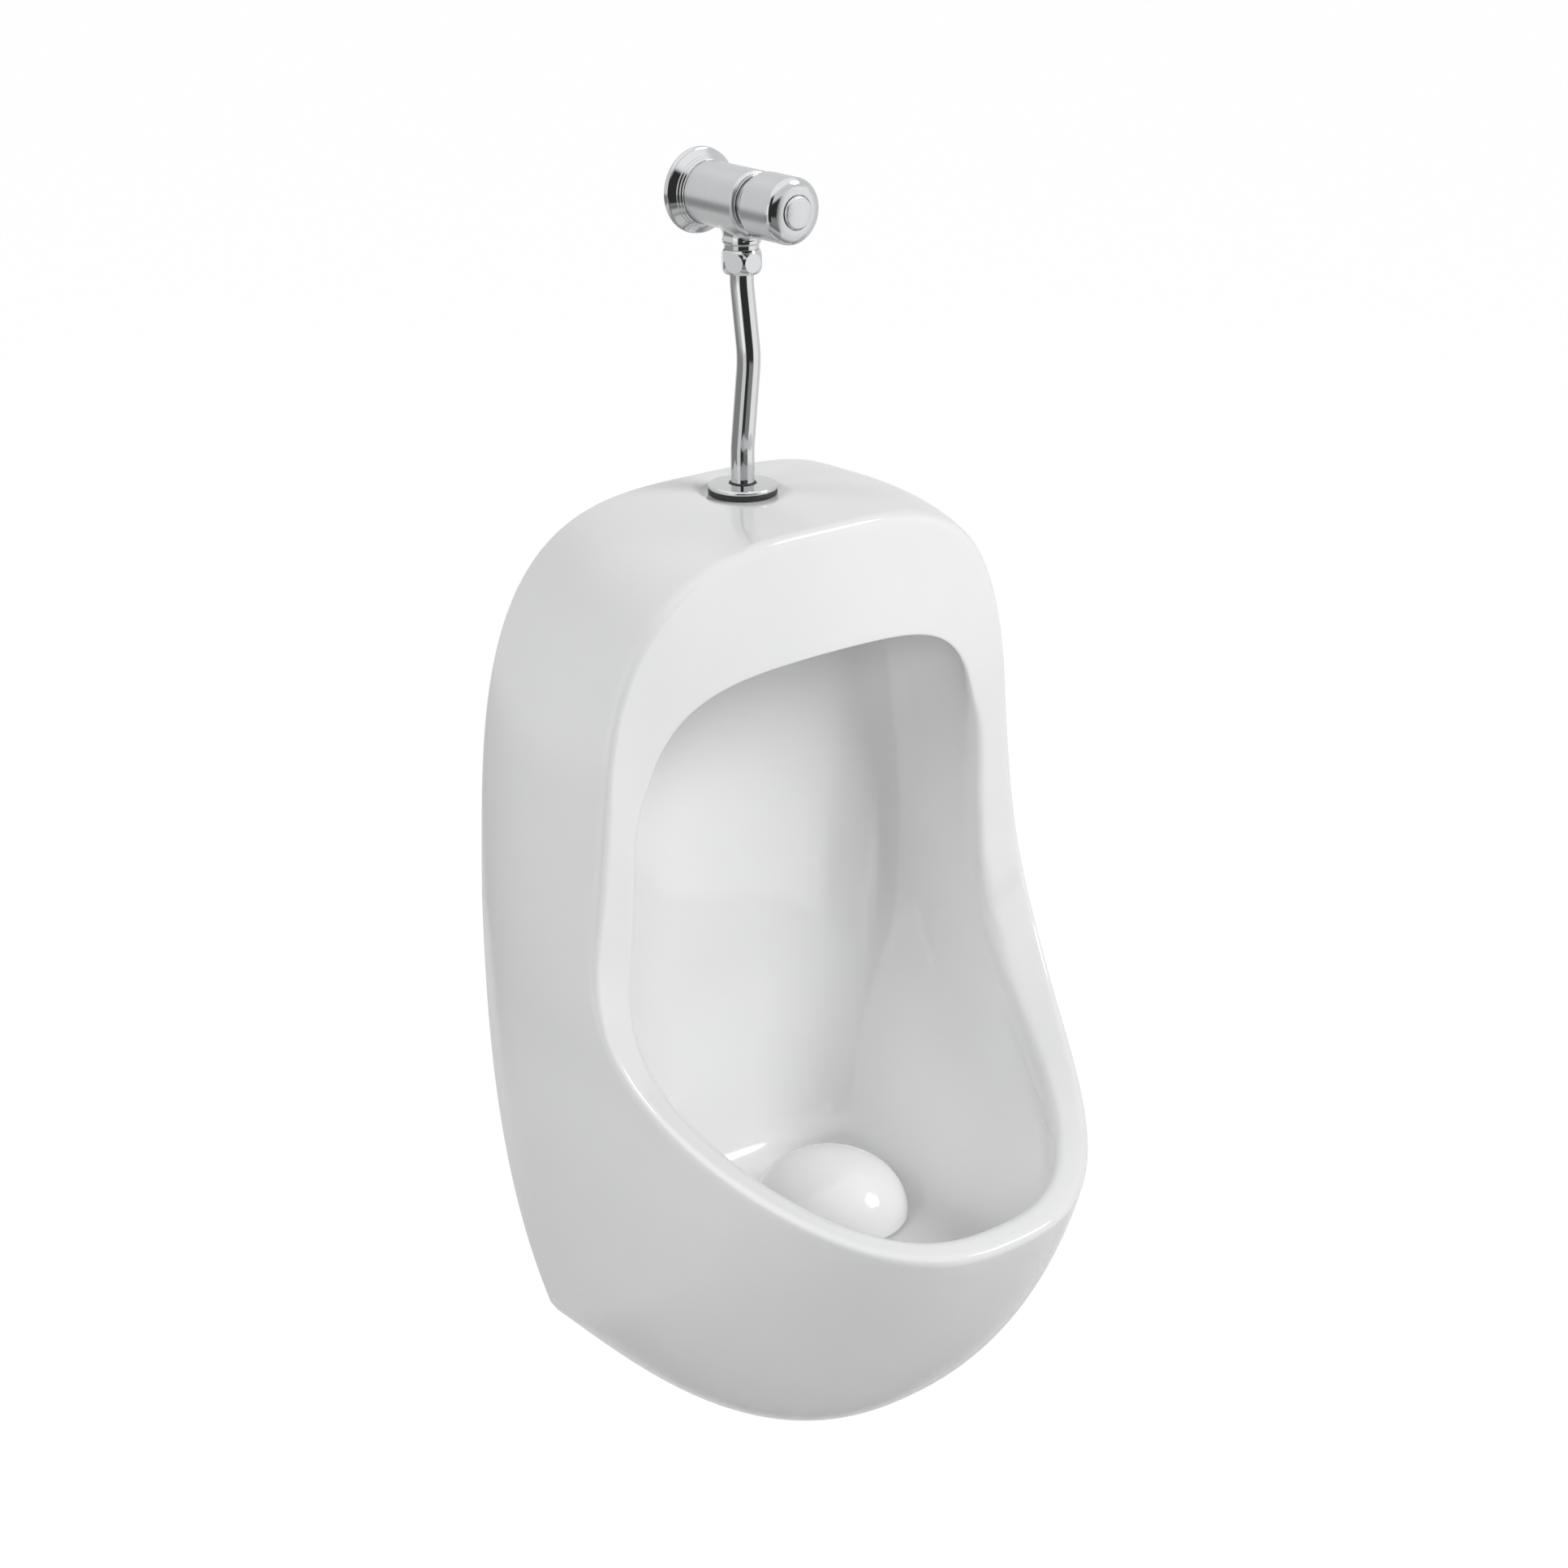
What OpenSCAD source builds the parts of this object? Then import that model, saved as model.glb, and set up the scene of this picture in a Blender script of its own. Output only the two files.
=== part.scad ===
// Wall-hung urinal with a push flush valve, an exposed flush pipe and a domed drain cover.
// Millimetres. The wall is the plane Y = 0 and the front faces -Y. X = 0 is the middle,
// and Z = 0 is the middle of the hanger bolts.

/* [Ceramic body] */
// Height of the back top edge above the hanger bolts
body_top = 100; // [97:0.5:104]
// Depth of the lowest back point below the hanger bolts
body_drop = 493.5; // [488:0.5:500]
// Width of the body where it meets the wall
back_w = 335.2; // [330:0.2:342]
// Width over the outer rim at its upper sides
rim_w = 308; // [305:0.5:312]
// Width over the outer rim where it is widest, low down
rim_low_w = 345; // [341:0.5:350]
// Distance from the wall to the upper rim
rim_reach = 109.7; // [107:0.1:113]
// Distance from the wall to the lip
lip_reach = 290.6; // [285:0.2:298]
// Depth of the lip below the hanger bolts
lip_drop = 294.9; // [290:0.1:299]
// Thickness of the ceramic walls
wall = 9; // [8:0.25:10]
// Height of the apron between the top and the mouth
apron_h = 76; // [70:0.5:80]
// Width of the rim's face at the upper sides
face_w = 26; // [24:0.5:29]
// Width of the rim's face low down at the sides
face_low_w = 32.5; // [30:0.5:35]
// Depth of the rim's face at the lip
lip_w = 22.4; // [20:0.2:25]
// Rounding of the outer rim
rim_r = 13; // [9:0.5:15]
// Rounding of the mouth's edge
mouth_r = 9; // [6:0.5:11]

/* [Bowl] */
// Distance from the wall to the back of the bowl
bowl_back = 24; // [23:0.25:26]
// Depth of the bowl's floor below the hanger bolts
floor_drop = 349; // [346:0.5:352]
// Distance from the wall to the middle of the drain
drain_reach = 123; // [120:0.5:127]
// Radius of the level ground round the drain
drain_flat_r = 40; // [38:0.5:43]

/* [Hangers] */
// Distance between the two hangers
hanger_gap = 190; // [170:1:200]
// Distance between the two bolts of a hanger
hanger_bolt_gap = 36; // [32:1:38]
// Diameter of a hanger's bolt hole
hanger_hole_d = 7; // [6:0.1:8]
// Width of a hanger
hanger_w = 40; // [34:1:44]
// Thickness of the hangers' steel
hanger_t = 3; // [2.5:0.1:3.4]

/* [Flush valve] */
// Height of the valve's axis above the hanger bolts
valve_h = 268; // [262:0.5:280]
// Diameter of the valve's body
valve_d = 37; // [36:0.25:38]
// Diameter of the wall escutcheon
escutcheon_d = 50; // [47:0.5:56]
// Diameter of the push knob
knob_d = 38; // [37.5:0.25:42]
// Travel of the push knob
knob_travel = 6; // [4:0.25:6.25]
// Radius of the wall inlet's thread
nipple_r = 10.48; // [10.3:0.01:10.6]
// Length of the wall inlet beyond the wall plane
nipple_len = 16; // [14:0.5:20]
// Width across the flats of the union nut
union_af = 21; // [20.5:0.1:22]
// Radius of the round flats on the union nut
union_flat_r = 5.5; // [5:0.1:6]
// Turn of the union nut about the pipe
union_turn = 9; // [0:1:30]

/* [Flush pipe] */
// Distance from the wall to both ends of the flush pipe
pipe_reach = 40; // [39.5:0.1:41]
// Outer diameter of the flush pipe
pipe_d = 14; // [13.5:0.1:14.5]
// Wall thickness of the flush pipe
pipe_wall = 1; // [0.8:0.1:1.5]
// How far the pipe bows forward between its ends
pipe_bow = 6.5; // [3:0.25:8]
// Bend radius of the flush pipe
pipe_bend_r = 60; // [40:1:70]

/* [Inlet] */
// Depth of the inlet's seat below the back top edge
seat_drop = 4.2; // [4:0.1:5]
// Diameter of the inlet rosette
rosette_d = 41; // [38:0.5:42]
// Thickness of the rubber washer under the rosette
washer_t = 3.2; // [2.6:0.1:4]
// Radius of the inlet spud's thread
spud_r = 10.4; // [10:0.1:10.6]

/* [Drain cover] */
// Diameter of the domed cover
dome_d = 98; // [94:0.5:102]
// Height of the domed cover
dome_h = 38; // [34:0.5:42]
// Thickness of the domed cover
dome_t = 4; // [3.5:0.25:5]
// Height over which the waste's socket guides the lifted cover
dome_lift = 30; // [20:1:34]

/* [Drain and trap] */
// Radius of the waste outlet pipe, which goes into the wall
outlet_r = 16; // [15:0.25:17]
// Depth of the waste outlet's axis below the hanger bolts
outlet_drop = 411; // [408:0.5:414]
// Length of the waste outlet beyond the wall plane
outlet_len = 30; // [25:1:40]
// Outer radius of the waste tail
tail_r = 22; // [21:0.25:22.5]
// Outer radius of the bottle trap
trap_r = 33; // [32:0.5:35]

/* [Hidden] */

// Running clearance on the radius of a sliding fit, and the gap that other neighbours keep
fit = 0.05;
gap = 0.3;
thread_fit = 0.1;
fine = 96;

// Levels that several pieces share
seat_z = body_top - seat_drop;
rim_top = body_top - 5.6;
ceiling_z = seat_z - wall + 0.5;
floor_z = -floor_drop;

function smooth(t) = let (u = min(max(t, 0), 1)) u*u*(3 - 2*u);
function signed_pow(v, p) = sign(v)*pow(abs(v), p);
function mix(a, b, t) = a + (b - a)*t;
function unit(v) = v/norm(v);
function cosine(t) = let (c = cos(t)) abs(c) < 1e-9 ? 0 : c;
// Value between a triple that is given for the top, the sides and the bottom of a loop
function three(v, k, p = 1) = v[1] + (k >= 0 ? v[0] - v[1] : v[2] - v[1])*pow(abs(k), p);

// A loop round the mouth: t runs from -90 at the bottom over the right side to 90 at the top
// and on to 270. The widths, heights and reaches follow a rounded rectangle's formula.
function rim_loop(t, half, half_low, z, reach, lip, bow, n) =
    let (s = sin(t), e = 2/(s >= 0 ? n[0] : n[1]), k = signed_pow(s, e),
         x = mix(half, half_low, smooth((0.35 - k)/0.9))*signed_pow(cosine(t), e),
         forward = bow*max(1 - pow(x/half, 2), 0)*smooth((k - 0.4)/0.5),
         y = reach + forward + (lip - reach)*pow(max(-k, 0), n[1]))
    [x, -y, three(z, k)];
function crease(t) = rim_loop(t, rim_w/2, rim_low_w/2, [rim_top, rim_top - 205.6, -lip_drop],
                              rim_reach, lip_reach, 12.5, [3.13, 2.61]);
function mouth(t) = rim_loop(t, rim_w/2 - face_w, rim_low_w/2 - face_low_w,
                             [rim_top - apron_h, rim_top - 240.1, 4.6 - lip_drop],
                             rim_reach - 1.5, lip_reach - lip_w, 18.1, [3.83, 2.63]);

// The outline on the wall: a rounded top, sides that draw in slowly, and a shallow curved bottom
kink = 50;
back_n = 3.5;
back_corner_w = back_w/2 - 39.8;
back_corner_z = 69.6 - body_drop;
back_mid_z = body_top - 228.2;
function back_edge(t) =
    let (f = t > 90 ? 180 - t : t, m = t > 90 ? -1 : 1, w = back_w/2,
         k = pow(abs(sin(f)), 2/back_n), g = -f/kink, h = (-kink - f)/(90 - kink))
    f >= 0 ? [m*mix(w, w - 7.7, k)*pow(max(cosine(f), 0), 2/back_n), 0, mix(back_mid_z, body_top, k)]
    : g <= 1 ? [m*(w - (w - back_corner_w)*pow(g, 2.59)), 0, mix(back_mid_z, back_corner_z, g)]
    : [m*back_corner_w*(1 - h), 0, mix(back_corner_z, -body_drop, 1 - pow(1 - h, 2))];

// The outside: a cubic curve from the wall (v = 0) to the rim's crease (v = 1), pushed out by a
// little at the sides and by much under the belly
function shell_curve(t) =
    let (b = back_edge(t), c = crease(t), s = sin(t),
         up = pow(max(s, 0), 6), dn = pow(max(-s, 0), 3.14), n = [cos(t), 0, s],
         push = [13.4 - 14.4*up + 58.4*dn, 13.4 - 14.4*up + 105.4*dn],
         side = [c[0] - b[0], 0, c[2] - b[2]]/3, len = c[1] - b[1])
    [b, b + [0, len*mix(1/3, 0.45, dn), 0] + side + n*push[0],
     c - [0, len*mix(1/3, 0.23, dn), 0] - side + n*push[1], c];
function cubic(p, v) = let (w = 1 - v)
    p[0]*w*w*w + 3*p[1]*v*w*w + 3*p[2]*v*v*w + p[3]*v*v*v;
function shell(t, v) = cubic(shell_curve(t), v);

// The bowl: each meridian runs from the mouth up to the ceiling's loop, the back wall's loop, the
// floor's loop and the drain, as straight stretches with rounded corners
function bowl_loop(t, a, y, z, n, p) =
    let (k = signed_pow(sin(t), 2/n))
    [a*signed_pow(cosine(t), 2/n), -three(y, k, p), three(z, k)];
function bowl_corners(t) = [
    mouth(t),
    bowl_loop(t, rim_w/2 - 23, [rim_reach - 0.7, 68, lip_reach - 24.6],
              [ceiling_z, rim_top - 244.4, floor_z + 31], 3.9, 2.6),
    bowl_loop(t, rim_w/2 - 42, [bowl_back, bowl_back + 18, lip_reach - 42.6],
              [ceiling_z, rim_top - 262.4, floor_z + 4], 3.6, 2.4),
    bowl_loop(t, 74, [bowl_back + 4, bowl_back + 24, drain_reach + 82],
              [floor_z + 3, floor_z + 2, floor_z + 1], 2.4, 1.4),
    [drain_flat_r*cosine(t), drain_flat_r*sin(t) - drain_reach, floor_z]];
function topness(t) = smooth((sin(t) - 0.35)/0.45);
function lowness(t) = smooth((-sin(t) - 0.35)/0.45);
// The ceiling is level only round the spud, and both its corners grow rounder to either side
function level(t) = sin(t) < 0 ? 0 : smooth((0.62 - pow(abs(cosine(t)), 0.56))/0.4);
function corner_r(t) = let (a = topness(t), b = lowness(t), c = level(t))
    [mix(mix(40, 16, c), 30, b), mix(mix(60, 16, c), 34, b), mix(mix(60, 70, a), 40, b)];
function rounded(k, r, i) =
    let (a = k[i - 1] - k[i], b = k[i + 1] - k[i], cut = min(r, 0.48*min(norm(a), norm(b))))
    [k[i] + unit(a)*cut, k[i], k[i] + unit(b)*cut];
function bowl_stops(t) = let (k = bowl_corners(t), r = corner_r(t))
    concat([k[0]], rounded(k, r[0], 1), rounded(k, r[1], 2), rounded(k, r[2], 3), [k[4]]);
function arc(a, b, c, f) = a*(1 - f)*(1 - f) + 2*b*f*(1 - f) + c*f*f;
// u counts straight stretches and corners in turn, from the mouth at 0 to the drain at 7
function bowl_at(p, u) =
    let (i = min(floor(u), 6), f = u - i, q = 3*floor(i/2))
    i % 2 == 0 ? mix(p[q], p[q + 1], f) : arc(p[q + 1], p[q + 2], p[q + 3], f);
function bowl(t, u) = bowl_at(bowl_stops(t), u);

// The hidden side lies one wall thickness behind the shell and the bowl
function shell_inside(t, v) =
    let (n = cross(shell(t + 0.4, v) - shell(t - 0.4, v), shell(t, v + 0.02) - shell(t, v - 0.02)))
    shell(t, v) - unit(n)*wall;
function bowl_outside(t, u) =
    let (lo = max(u - 0.02, 0), hi = min(u + 0.02, 7),
         n = cross(bowl(t + 0.4, u) - bowl(t - 0.4, u), bowl(t, hi) - bowl(t, lo)),
         thick = wall + 5*smooth(u - 6))
    bowl(t, u) - unit(n)*thick;
// How far the hollow reaches forward, as v on the shell and as u on the bowl
function shell_end(t) = 0.8 - 0.66*topness(t) - 0.06*lowness(t);
function bowl_start(t) = 0.5 + 3.5*topness(t) + 3.2*lowness(t);

around = 56;
// The stations crowd towards the corners, where the loops bend most
function station(i) =
    let (a = 360*i/around - 90, q = 1.4, t = atan2(signed_pow(sin(a), q), signed_pow(cosine(a), q)))
    t < -90 ? t + 360 : t;
bowl_steps = [7, 6, 5.67, 5.33, 5, 4.67, 4.33, 4, 3.75, 3.5, 3.25, 3, 2, 1.67, 1.33, 1];
shell_steps = 9;
hollow_steps = 5;
hollow_bowl_steps = 9;
back_bevel = 2.5;
function meridian(t) =
    let (c = crease(t), e = mouth(t), p = bowl_stops(t), q = shell_curve(t),
         across = unit(e - c), e_in = e + unit(p[1] - e)*min(mouth_r, norm(p[1] - e)),
         v_end = 1 - rim_r/(3*norm(c - q[2])), c_out = cubic(q, v_end),
         vs = [for (i = [0:shell_steps - 1]) mix(v_end, 0.025, i/(shell_steps - 1))])
    concat(
        [for (u = bowl_steps) bowl_at(p, u)],
        [for (f = [0:0.25:1]) arc(e_in, e, e - across*mouth_r, f)],
        [for (f = [0:0.25:1]) arc(c + across*rim_r, c, c_out, f)],
        [for (i = [1:shell_steps - 1]) cubic(q, vs[i])],
        [back_edge(t) - back_bevel*outward(t), back_edge(t) - wall*outward(t)],
        [for (i = [1:hollow_steps]) shell_inside(t, shell_end(t)*i/hollow_steps)],
        [for (i = [0:hollow_bowl_steps]) bowl_outside(t, mix(bowl_start(t), 7, i/hollow_bowl_steps))]);
function outward(t) =
    let (d = back_edge(t + 0.4) - back_edge(t - 0.4)) unit([d[2], 0, -d[0]]);

// The crossbar on the back of the bowl, with a pocket for the hook of each hanger
rail_z = hanger_bolt_gap/2 + 20;
rail_h = 16;
rail_front = bowl_back - wall;
rail_back = hanger_t + gap*3;
hook_lip_t = hanger_t;
hook_depth = rail_front - 1.6;
module hanger_rail() {
    ends = [for (z = [rail_z, rail_z + rail_h])
            let (k = (z - back_mid_z)/(body_top - back_mid_z),
                 t = asin(pow(k, back_n/2))) [back_edge(t)[0] - wall/2, z]];
    difference() {
        translate([0, -rail_back, 0]) rotate([90, 0, 0])
            linear_extrude(rail_front + wall/3 - rail_back)
                polygon([[-ends[0][0], ends[0][1]], [ends[0][0], ends[0][1]],
                         [ends[1][0], ends[1][1]], [-ends[1][0], ends[1][1]]]);
        for (x = [-hanger_gap/2, hanger_gap/2])
            translate([x - hanger_w/2 - 4, -rail_front - 0.01, rail_z - 1])
                cube([hanger_w + 8, rail_front - hook_depth + hook_lip_t + 1.4, rail_h + 2]);
    }
}

spud_hole_r = spud_r + 0.8;
spud_nut_af = 27;
drain_recess_r = 35.5;
drain_recess_t = 5.5;
drain_hole_r = tail_r + 2.5;
module ceramic_body() {
    m = len(meridian(0));
    points = concat([for (i = [0:around - 1]) each meridian(station(i))],
                    [[0, -drain_reach, floor_z], [0, -drain_reach, floor_z - wall - 5]]);
    faces = concat(
        [for (i = [0:around - 1], j = [0:m - 2]) let (k = (i + 1) % around)
            each [[i*m + j, k*m + j, k*m + j + 1], [i*m + j, k*m + j + 1, i*m + j + 1]]],
        [for (i = [0:around - 1]) let (k = (i + 1) % around)
            each [[around*m, k*m, i*m], [around*m + 1, i*m + m - 1, k*m + m - 1]]]);
    color("white") difference() {
        union() {
            polyhedron(points, faces, convexity = 12);
            hanger_rail();
        }
        translate([0, -pipe_reach, 0]) {
            translate([0, 0, seat_z]) cylinder(r = rosette_d/2 + 1.5, h = 20, $fn = fine);
            translate([0, 0, ceiling_z - 30]) cylinder(r = spud_hole_r, h = 60, $fn = fine);
            translate([0, 0, ceiling_z - 40])
                cylinder(r = spud_nut_af/sqrt(3) + 0.5, h = 39.5, $fn = fine);
        }
        translate([0, -drain_reach, floor_z]) {
            translate([0, 0, -40]) cylinder(r = drain_hole_r, h = 60, $fn = fine);
            translate([0, 0, -drain_recess_t]) cylinder(r = drain_recess_r, h = 10, $fn = fine);
            translate([0, 0, -wall - 5 - 10]) cylinder(r = drain_recess_r + 3, h = 10.5, $fn = fine);
        }
    }
}

// Two pressed-steel hooks, bolted to the wall through two holes each
module wall_hangers() {
    foot = hanger_bolt_gap/2 + 16;
    color("silver") for (x = [-hanger_gap/2, hanger_gap/2]) translate([x, 0, 0]) {
        difference() {
            translate([-hanger_w/2, -hanger_t, -foot]) cube([hanger_w, hanger_t, foot + rail_z]);
            for (z = [-hanger_bolt_gap/2, hanger_bolt_gap/2]) translate([0, 1, z])
                rotate([90, 0, 0]) cylinder(d = hanger_hole_d, h = hanger_t + 2, $fn = fine);
        }
        translate([-hanger_w/2, -hook_depth, rail_z - hanger_t]) cube([hanger_w, hook_depth, hanger_t]);
        translate([-hanger_w/2, -hook_depth, rail_z - hanger_t])
            cube([hanger_w, hook_lip_t, rail_h*0.75 + hanger_t]);
    }
}

// A turned piece on the valve's axis; its profile is drawn as radius and distance from the wall
module on_valve() {
    translate([0, 0, valve_h]) rotate([90, 0, 0]) children();
}
module turned(profile) {
    rotate_extrude($fn = fine) polygon(profile);
}
module ring(r_out, r_in, h) {
    difference() {
        cylinder(r = r_out, h = h, $fn = fine);
        translate([0, 0, -1]) cylinder(r = r_in, h = h + 2, $fn = fine);
    }
}
// A hexagon with both ends turned round, as on a machined nut
module hex_nut(af, h, r_in, chamfer) {
    corner = af/sqrt(3);
    difference() {
        intersection() {
            cylinder(r = corner, h = h, $fn = 6);
            turned([[0, 0], [corner - chamfer, 0], [corner, chamfer*0.6], [corner, h - chamfer*0.6],
                    [corner - chamfer, h], [0, h]]);
        }
        translate([0, 0, -1]) cylinder(r = r_in, h = h + 2, $fn = fine);
    }
}

// Distances of the valve's sections from the wall
valve_r = valve_d/2;
body_start = 8.5;
body_end = 54;
neck_end = body_end + knob_travel + 0.5;
knob_start = neck_end + 0.6;
knob_front = knob_start + 25;
knob_crown = 7;
seat_start = 32;
seat_t = 3;
seat_hole_r = 6;
chamber_r = 13;
bonnet_depth = 7;
spindle_r = 2.5;
spindle_start = 24;
poppet_start = 24.5;
poppet_end = 29.4;
guide_r = 6;
knob_inner_r = 16.9;
knob_roof = knob_front - 4.5;
boss_start = knob_roof - 4;
guide_end = boss_start - knob_travel - 1;
cap_r = 9.5;

// The dish that covers the hole in the wall
module wall_escutcheon() {
    r = escutcheon_d/2;
    hole = nipple_r + 0.4;
    color("silver") on_valve() turned([
        [hole, 3.4], [hole, 8.2], [valve_r + 0.6, 8.2], [valve_r + 0.6, 7], [valve_r + 1.4, 7],
        [valve_r + 1.4, 5.8], [r - 3, 4.4], [r - 1, 3.2], [r, 1.4], [r, 0.1], [r - 1.4, 0.1],
        [r - 2.2, 2], [valve_r, 3.4]]);
}

// The nipple's wall end is free; its valve end is a little thinner and sits in the body's socket
nipple_bore = nipple_r - 3;
nipple_end = 16;
socket_r = nipple_r - 0.3;
module inlet_nipple() {
    color("goldenrod") on_valve() turned([
        [nipple_bore, -nipple_len], [nipple_r, -nipple_len], [nipple_r, 0], [socket_r, 0],
        [socket_r, nipple_end], [nipple_bore, nipple_end]]);
}

outlet_boss_r = 10;
outlet_thread_r = 8.5;
union_top = valve_h - valve_r - 9.1;
union_h = 13.9;
outlet_end = union_top - 4.5;
pipe_r = pipe_d/2;
module valve_body() {
    color("silver") difference() {
        union() {
            on_valve() turned([
                [0, body_start], [valve_r - 0.8, body_start], [valve_r, body_start + 0.8],
                [valve_r, body_end - 1.2], [valve_r - 1.2, body_end], [0, body_end]]);
            translate([0, -pipe_reach, valve_h]) rotate([180, 0, 0]) turned([
                [0, 10], [15, 10], [14, valve_r - 3], [11.4, valve_r + 0.6], [11.2, valve_r + 1],
                [11.2, valve_r + 3], [outlet_boss_r, valve_r + 3.6],
                [outlet_boss_r, valve_h - union_top - 0.1], [outlet_thread_r, valve_h - union_top - 0.1],
                [outlet_thread_r, valve_h - outlet_end], [0, valve_h - outlet_end]]);
        }
        on_valve() {
            translate([0, 0, body_start - 1])
                cylinder(r = socket_r + fit, h = nipple_end + 1 - body_start + gap, $fn = fine);
            translate([0, 0, nipple_end]) cylinder(r = 9.5, h = seat_start - nipple_end, $fn = fine);
            translate([0, 0, seat_start]) cylinder(r = chamber_r, h = 60, $fn = fine);
        }
        translate([0, -pipe_reach, outlet_end - 1])
            cylinder(r = pipe_r + fit, h = union_top - outlet_end + 6, $fn = fine);
        translate([0, -pipe_reach, outlet_end - 1]) cylinder(r = 5.5, h = 40, $fn = fine);
    }
}

module valve_seat() {
    color("goldenrod") on_valve() translate([0, 0, seat_start]) {
        ring(chamber_r - thread_fit, seat_hole_r, seat_t);
    }
}

// The gland that closes the body and guides the spindle; its flange shows as the grooved neck
module bonnet() {
    r = 16.3;
    inside = body_end - bonnet_depth;
    color("dimgray") on_valve() turned([
        [spindle_r + fit, inside + 3], [4.6, inside + 3], [4.6, inside],
        [chamber_r - thread_fit, inside], [chamber_r - thread_fit, body_end],
        [r, body_end], [r, body_end + 1.2], [r - 1, body_end + 1.8], [r - 1, body_end + 2.4],
        [r, body_end + 3], [r, body_end + 3.8], [r - 1, body_end + 4.4], [r - 1, body_end + 5],
        [r, body_end + 5.6], [r, neck_end], [guide_r, neck_end], [guide_r, guide_end],
        [spindle_r + fit, guide_end]]);
}

module spindle_seal() {
    color("black") on_valve() translate([0, 0, body_end - bonnet_depth + 0.2])
        ring(4.5, spindle_r + fit, 2.6);
}

// The return spring: one tube of round wire wound along a helix between the neck and the knob
spring_r = 8.8;
wire_r = 0.7;
spring_turns = 7;
spring_len = knob_roof - neck_end - 0.2;
module return_spring() {
    sides = 6;
    per_turn = 20;
    count = spring_turns*per_turn;
    rise = spring_len - 2*wire_r - 0.2;
    points = [for (i = [0:count]) let (a = 360*i/per_turn, z = wire_r + 0.1 + rise*i/count)
              for (j = [0:sides - 1]) let (b = 360*j/sides, r = spring_r + wire_r*cos(b))
                  [r*cos(a), r*sin(a), z + wire_r*sin(b)]];
    faces = concat(
        [for (i = [0:count - 1], j = [0:sides - 1]) let (k = (j + 1) % sides)
            each [[i*sides + j, (i + 1)*sides + j, (i + 1)*sides + k],
                  [i*sides + j, (i + 1)*sides + k, i*sides + k]]],
        [for (j = [1:sides - 2]) each [[0, j, j + 1],
            [count*sides, count*sides + j + 1, count*sides + j]]]);
    color("silver") on_valve() translate([0, 0, neck_end + 0.1]) polyhedron(points, faces);
}

// A turned knob: a straight skirt, a wide chamfer and an almost flat front with a recess for the cap
knob_chamfer = 3.6;
module push_knob() {
    r = knob_d/2;
    rim = knob_front + knob_crown*0.6;
    color("silver") on_valve() turned([
        [spindle_r + fit, boss_start], [5.5, boss_start], [5.5, knob_roof],
        [knob_inner_r, knob_roof], [knob_inner_r, knob_start], [r - 0.6, knob_start],
        [r, knob_start + 0.6], [r, rim - knob_chamfer*0.7], [r - 0.5, rim - knob_chamfer*0.5],
        [r - knob_chamfer, rim - 0.4], [cap_r + 0.2, rim], [cap_r + 0.2, knob_front + 1.5],
        [5, knob_front + 1.5], [5, knob_front - 1], [spindle_r + fit, knob_front - 1]]);
}

module button_cap() {
    cap = [for (a = [0:15:90]) [cap_r*cos(a), knob_front + knob_crown*(0.55 + 0.45*sin(a))]];
    color("silver") on_valve() turned(concat(
        [[0, knob_front + 1.6], [cap_r, knob_front + 1.6]], cap));
}

module knob_screw() {
    color("silver") on_valve() turned([
        [0, knob_roof + 1.1], [1.4, knob_roof + 1.1], [1.4, knob_front - 0.9],
        [4.4, knob_front - 0.9], [4.4, knob_front + 1.2], [0, knob_front + 1.2]]);
}

module spindle() {
    color("silver") on_valve() difference() {
        translate([0, 0, spindle_start])
            cylinder(r = spindle_r, h = knob_front - 1 - spindle_start, $fn = fine);
        translate([0, 0, knob_roof + 1]) cylinder(r = 1.45, h = 20, $fn = fine);
    }
}

// The poppet seals on the inlet side of the seat, and the knob pushes it open towards the wall
module poppet() {
    color("goldenrod") on_valve() turned([
        [spindle_r + 0.02, poppet_start], [4.5, poppet_start], [4.5, poppet_start + 2],
        [8.2, poppet_start + 3], [8.2, poppet_end], [spindle_r + 0.02, poppet_end]]);
}
module poppet_seal() {
    color("black") on_valve() translate([0, 0, poppet_end])
        ring(7.8, spindle_r + 0.02, seat_start - poppet_end - 0.1);
}

// A ball cut by a hexagon: the six flats come out round
module union_nut() {
    ball_r = norm([union_af/2, union_flat_r]);
    end = asin(union_h/2/ball_r);
    side = [for (i = [-6:6]) [ball_r*cos(end*i/6), union_h/2 + ball_r*sin(end*i/6)]];
    color("silver") translate([0, -pipe_reach, union_top - union_h]) rotate([0, 0, union_turn])
        difference() {
            intersection() {
                cylinder(r = union_af/sqrt(3), h = union_h, $fn = 6);
                turned(concat([[0, 0]], side, [[0, union_h]]));
            }
            translate([0, 0, -1]) cylinder(r = pipe_r + gap, h = union_h, $fn = fine);
            translate([0, 0, 2.4]) cylinder(r = outlet_thread_r + thread_fit, h = union_h, $fn = fine);
        }
}
module union_seal() {
    color("black") translate([0, -pipe_reach, union_top - union_h + 2.5])
        ring(outlet_thread_r - 0.4, pipe_r + fit, outlet_end - union_top + union_h - 2.6);
}

// The pipe's route in the plane X = 0, as reach and height, from the valve down to the spud
pipe_top = union_top - 1;
pipe_bottom = seat_z - 16;
route = [[pipe_reach, pipe_top], [pipe_reach, union_top - union_h - 6],
         [pipe_reach + pipe_bow, mix(seat_z, union_top - union_h, 0.63)],
         [pipe_reach, seat_z + 28], [pipe_reach, pipe_bottom]];
function bend_angle(a, b) = acos(min(1, unit(a)*unit(b)));
// Length that a bend takes from each of its two straight stretches
function setback(i) = let (a = route[i] - route[i - 1], b = route[i + 1] - route[i])
    min(pipe_bend_r, 3*norm(a), 3*norm(b))*tan(bend_angle(a, b)/2);
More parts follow.
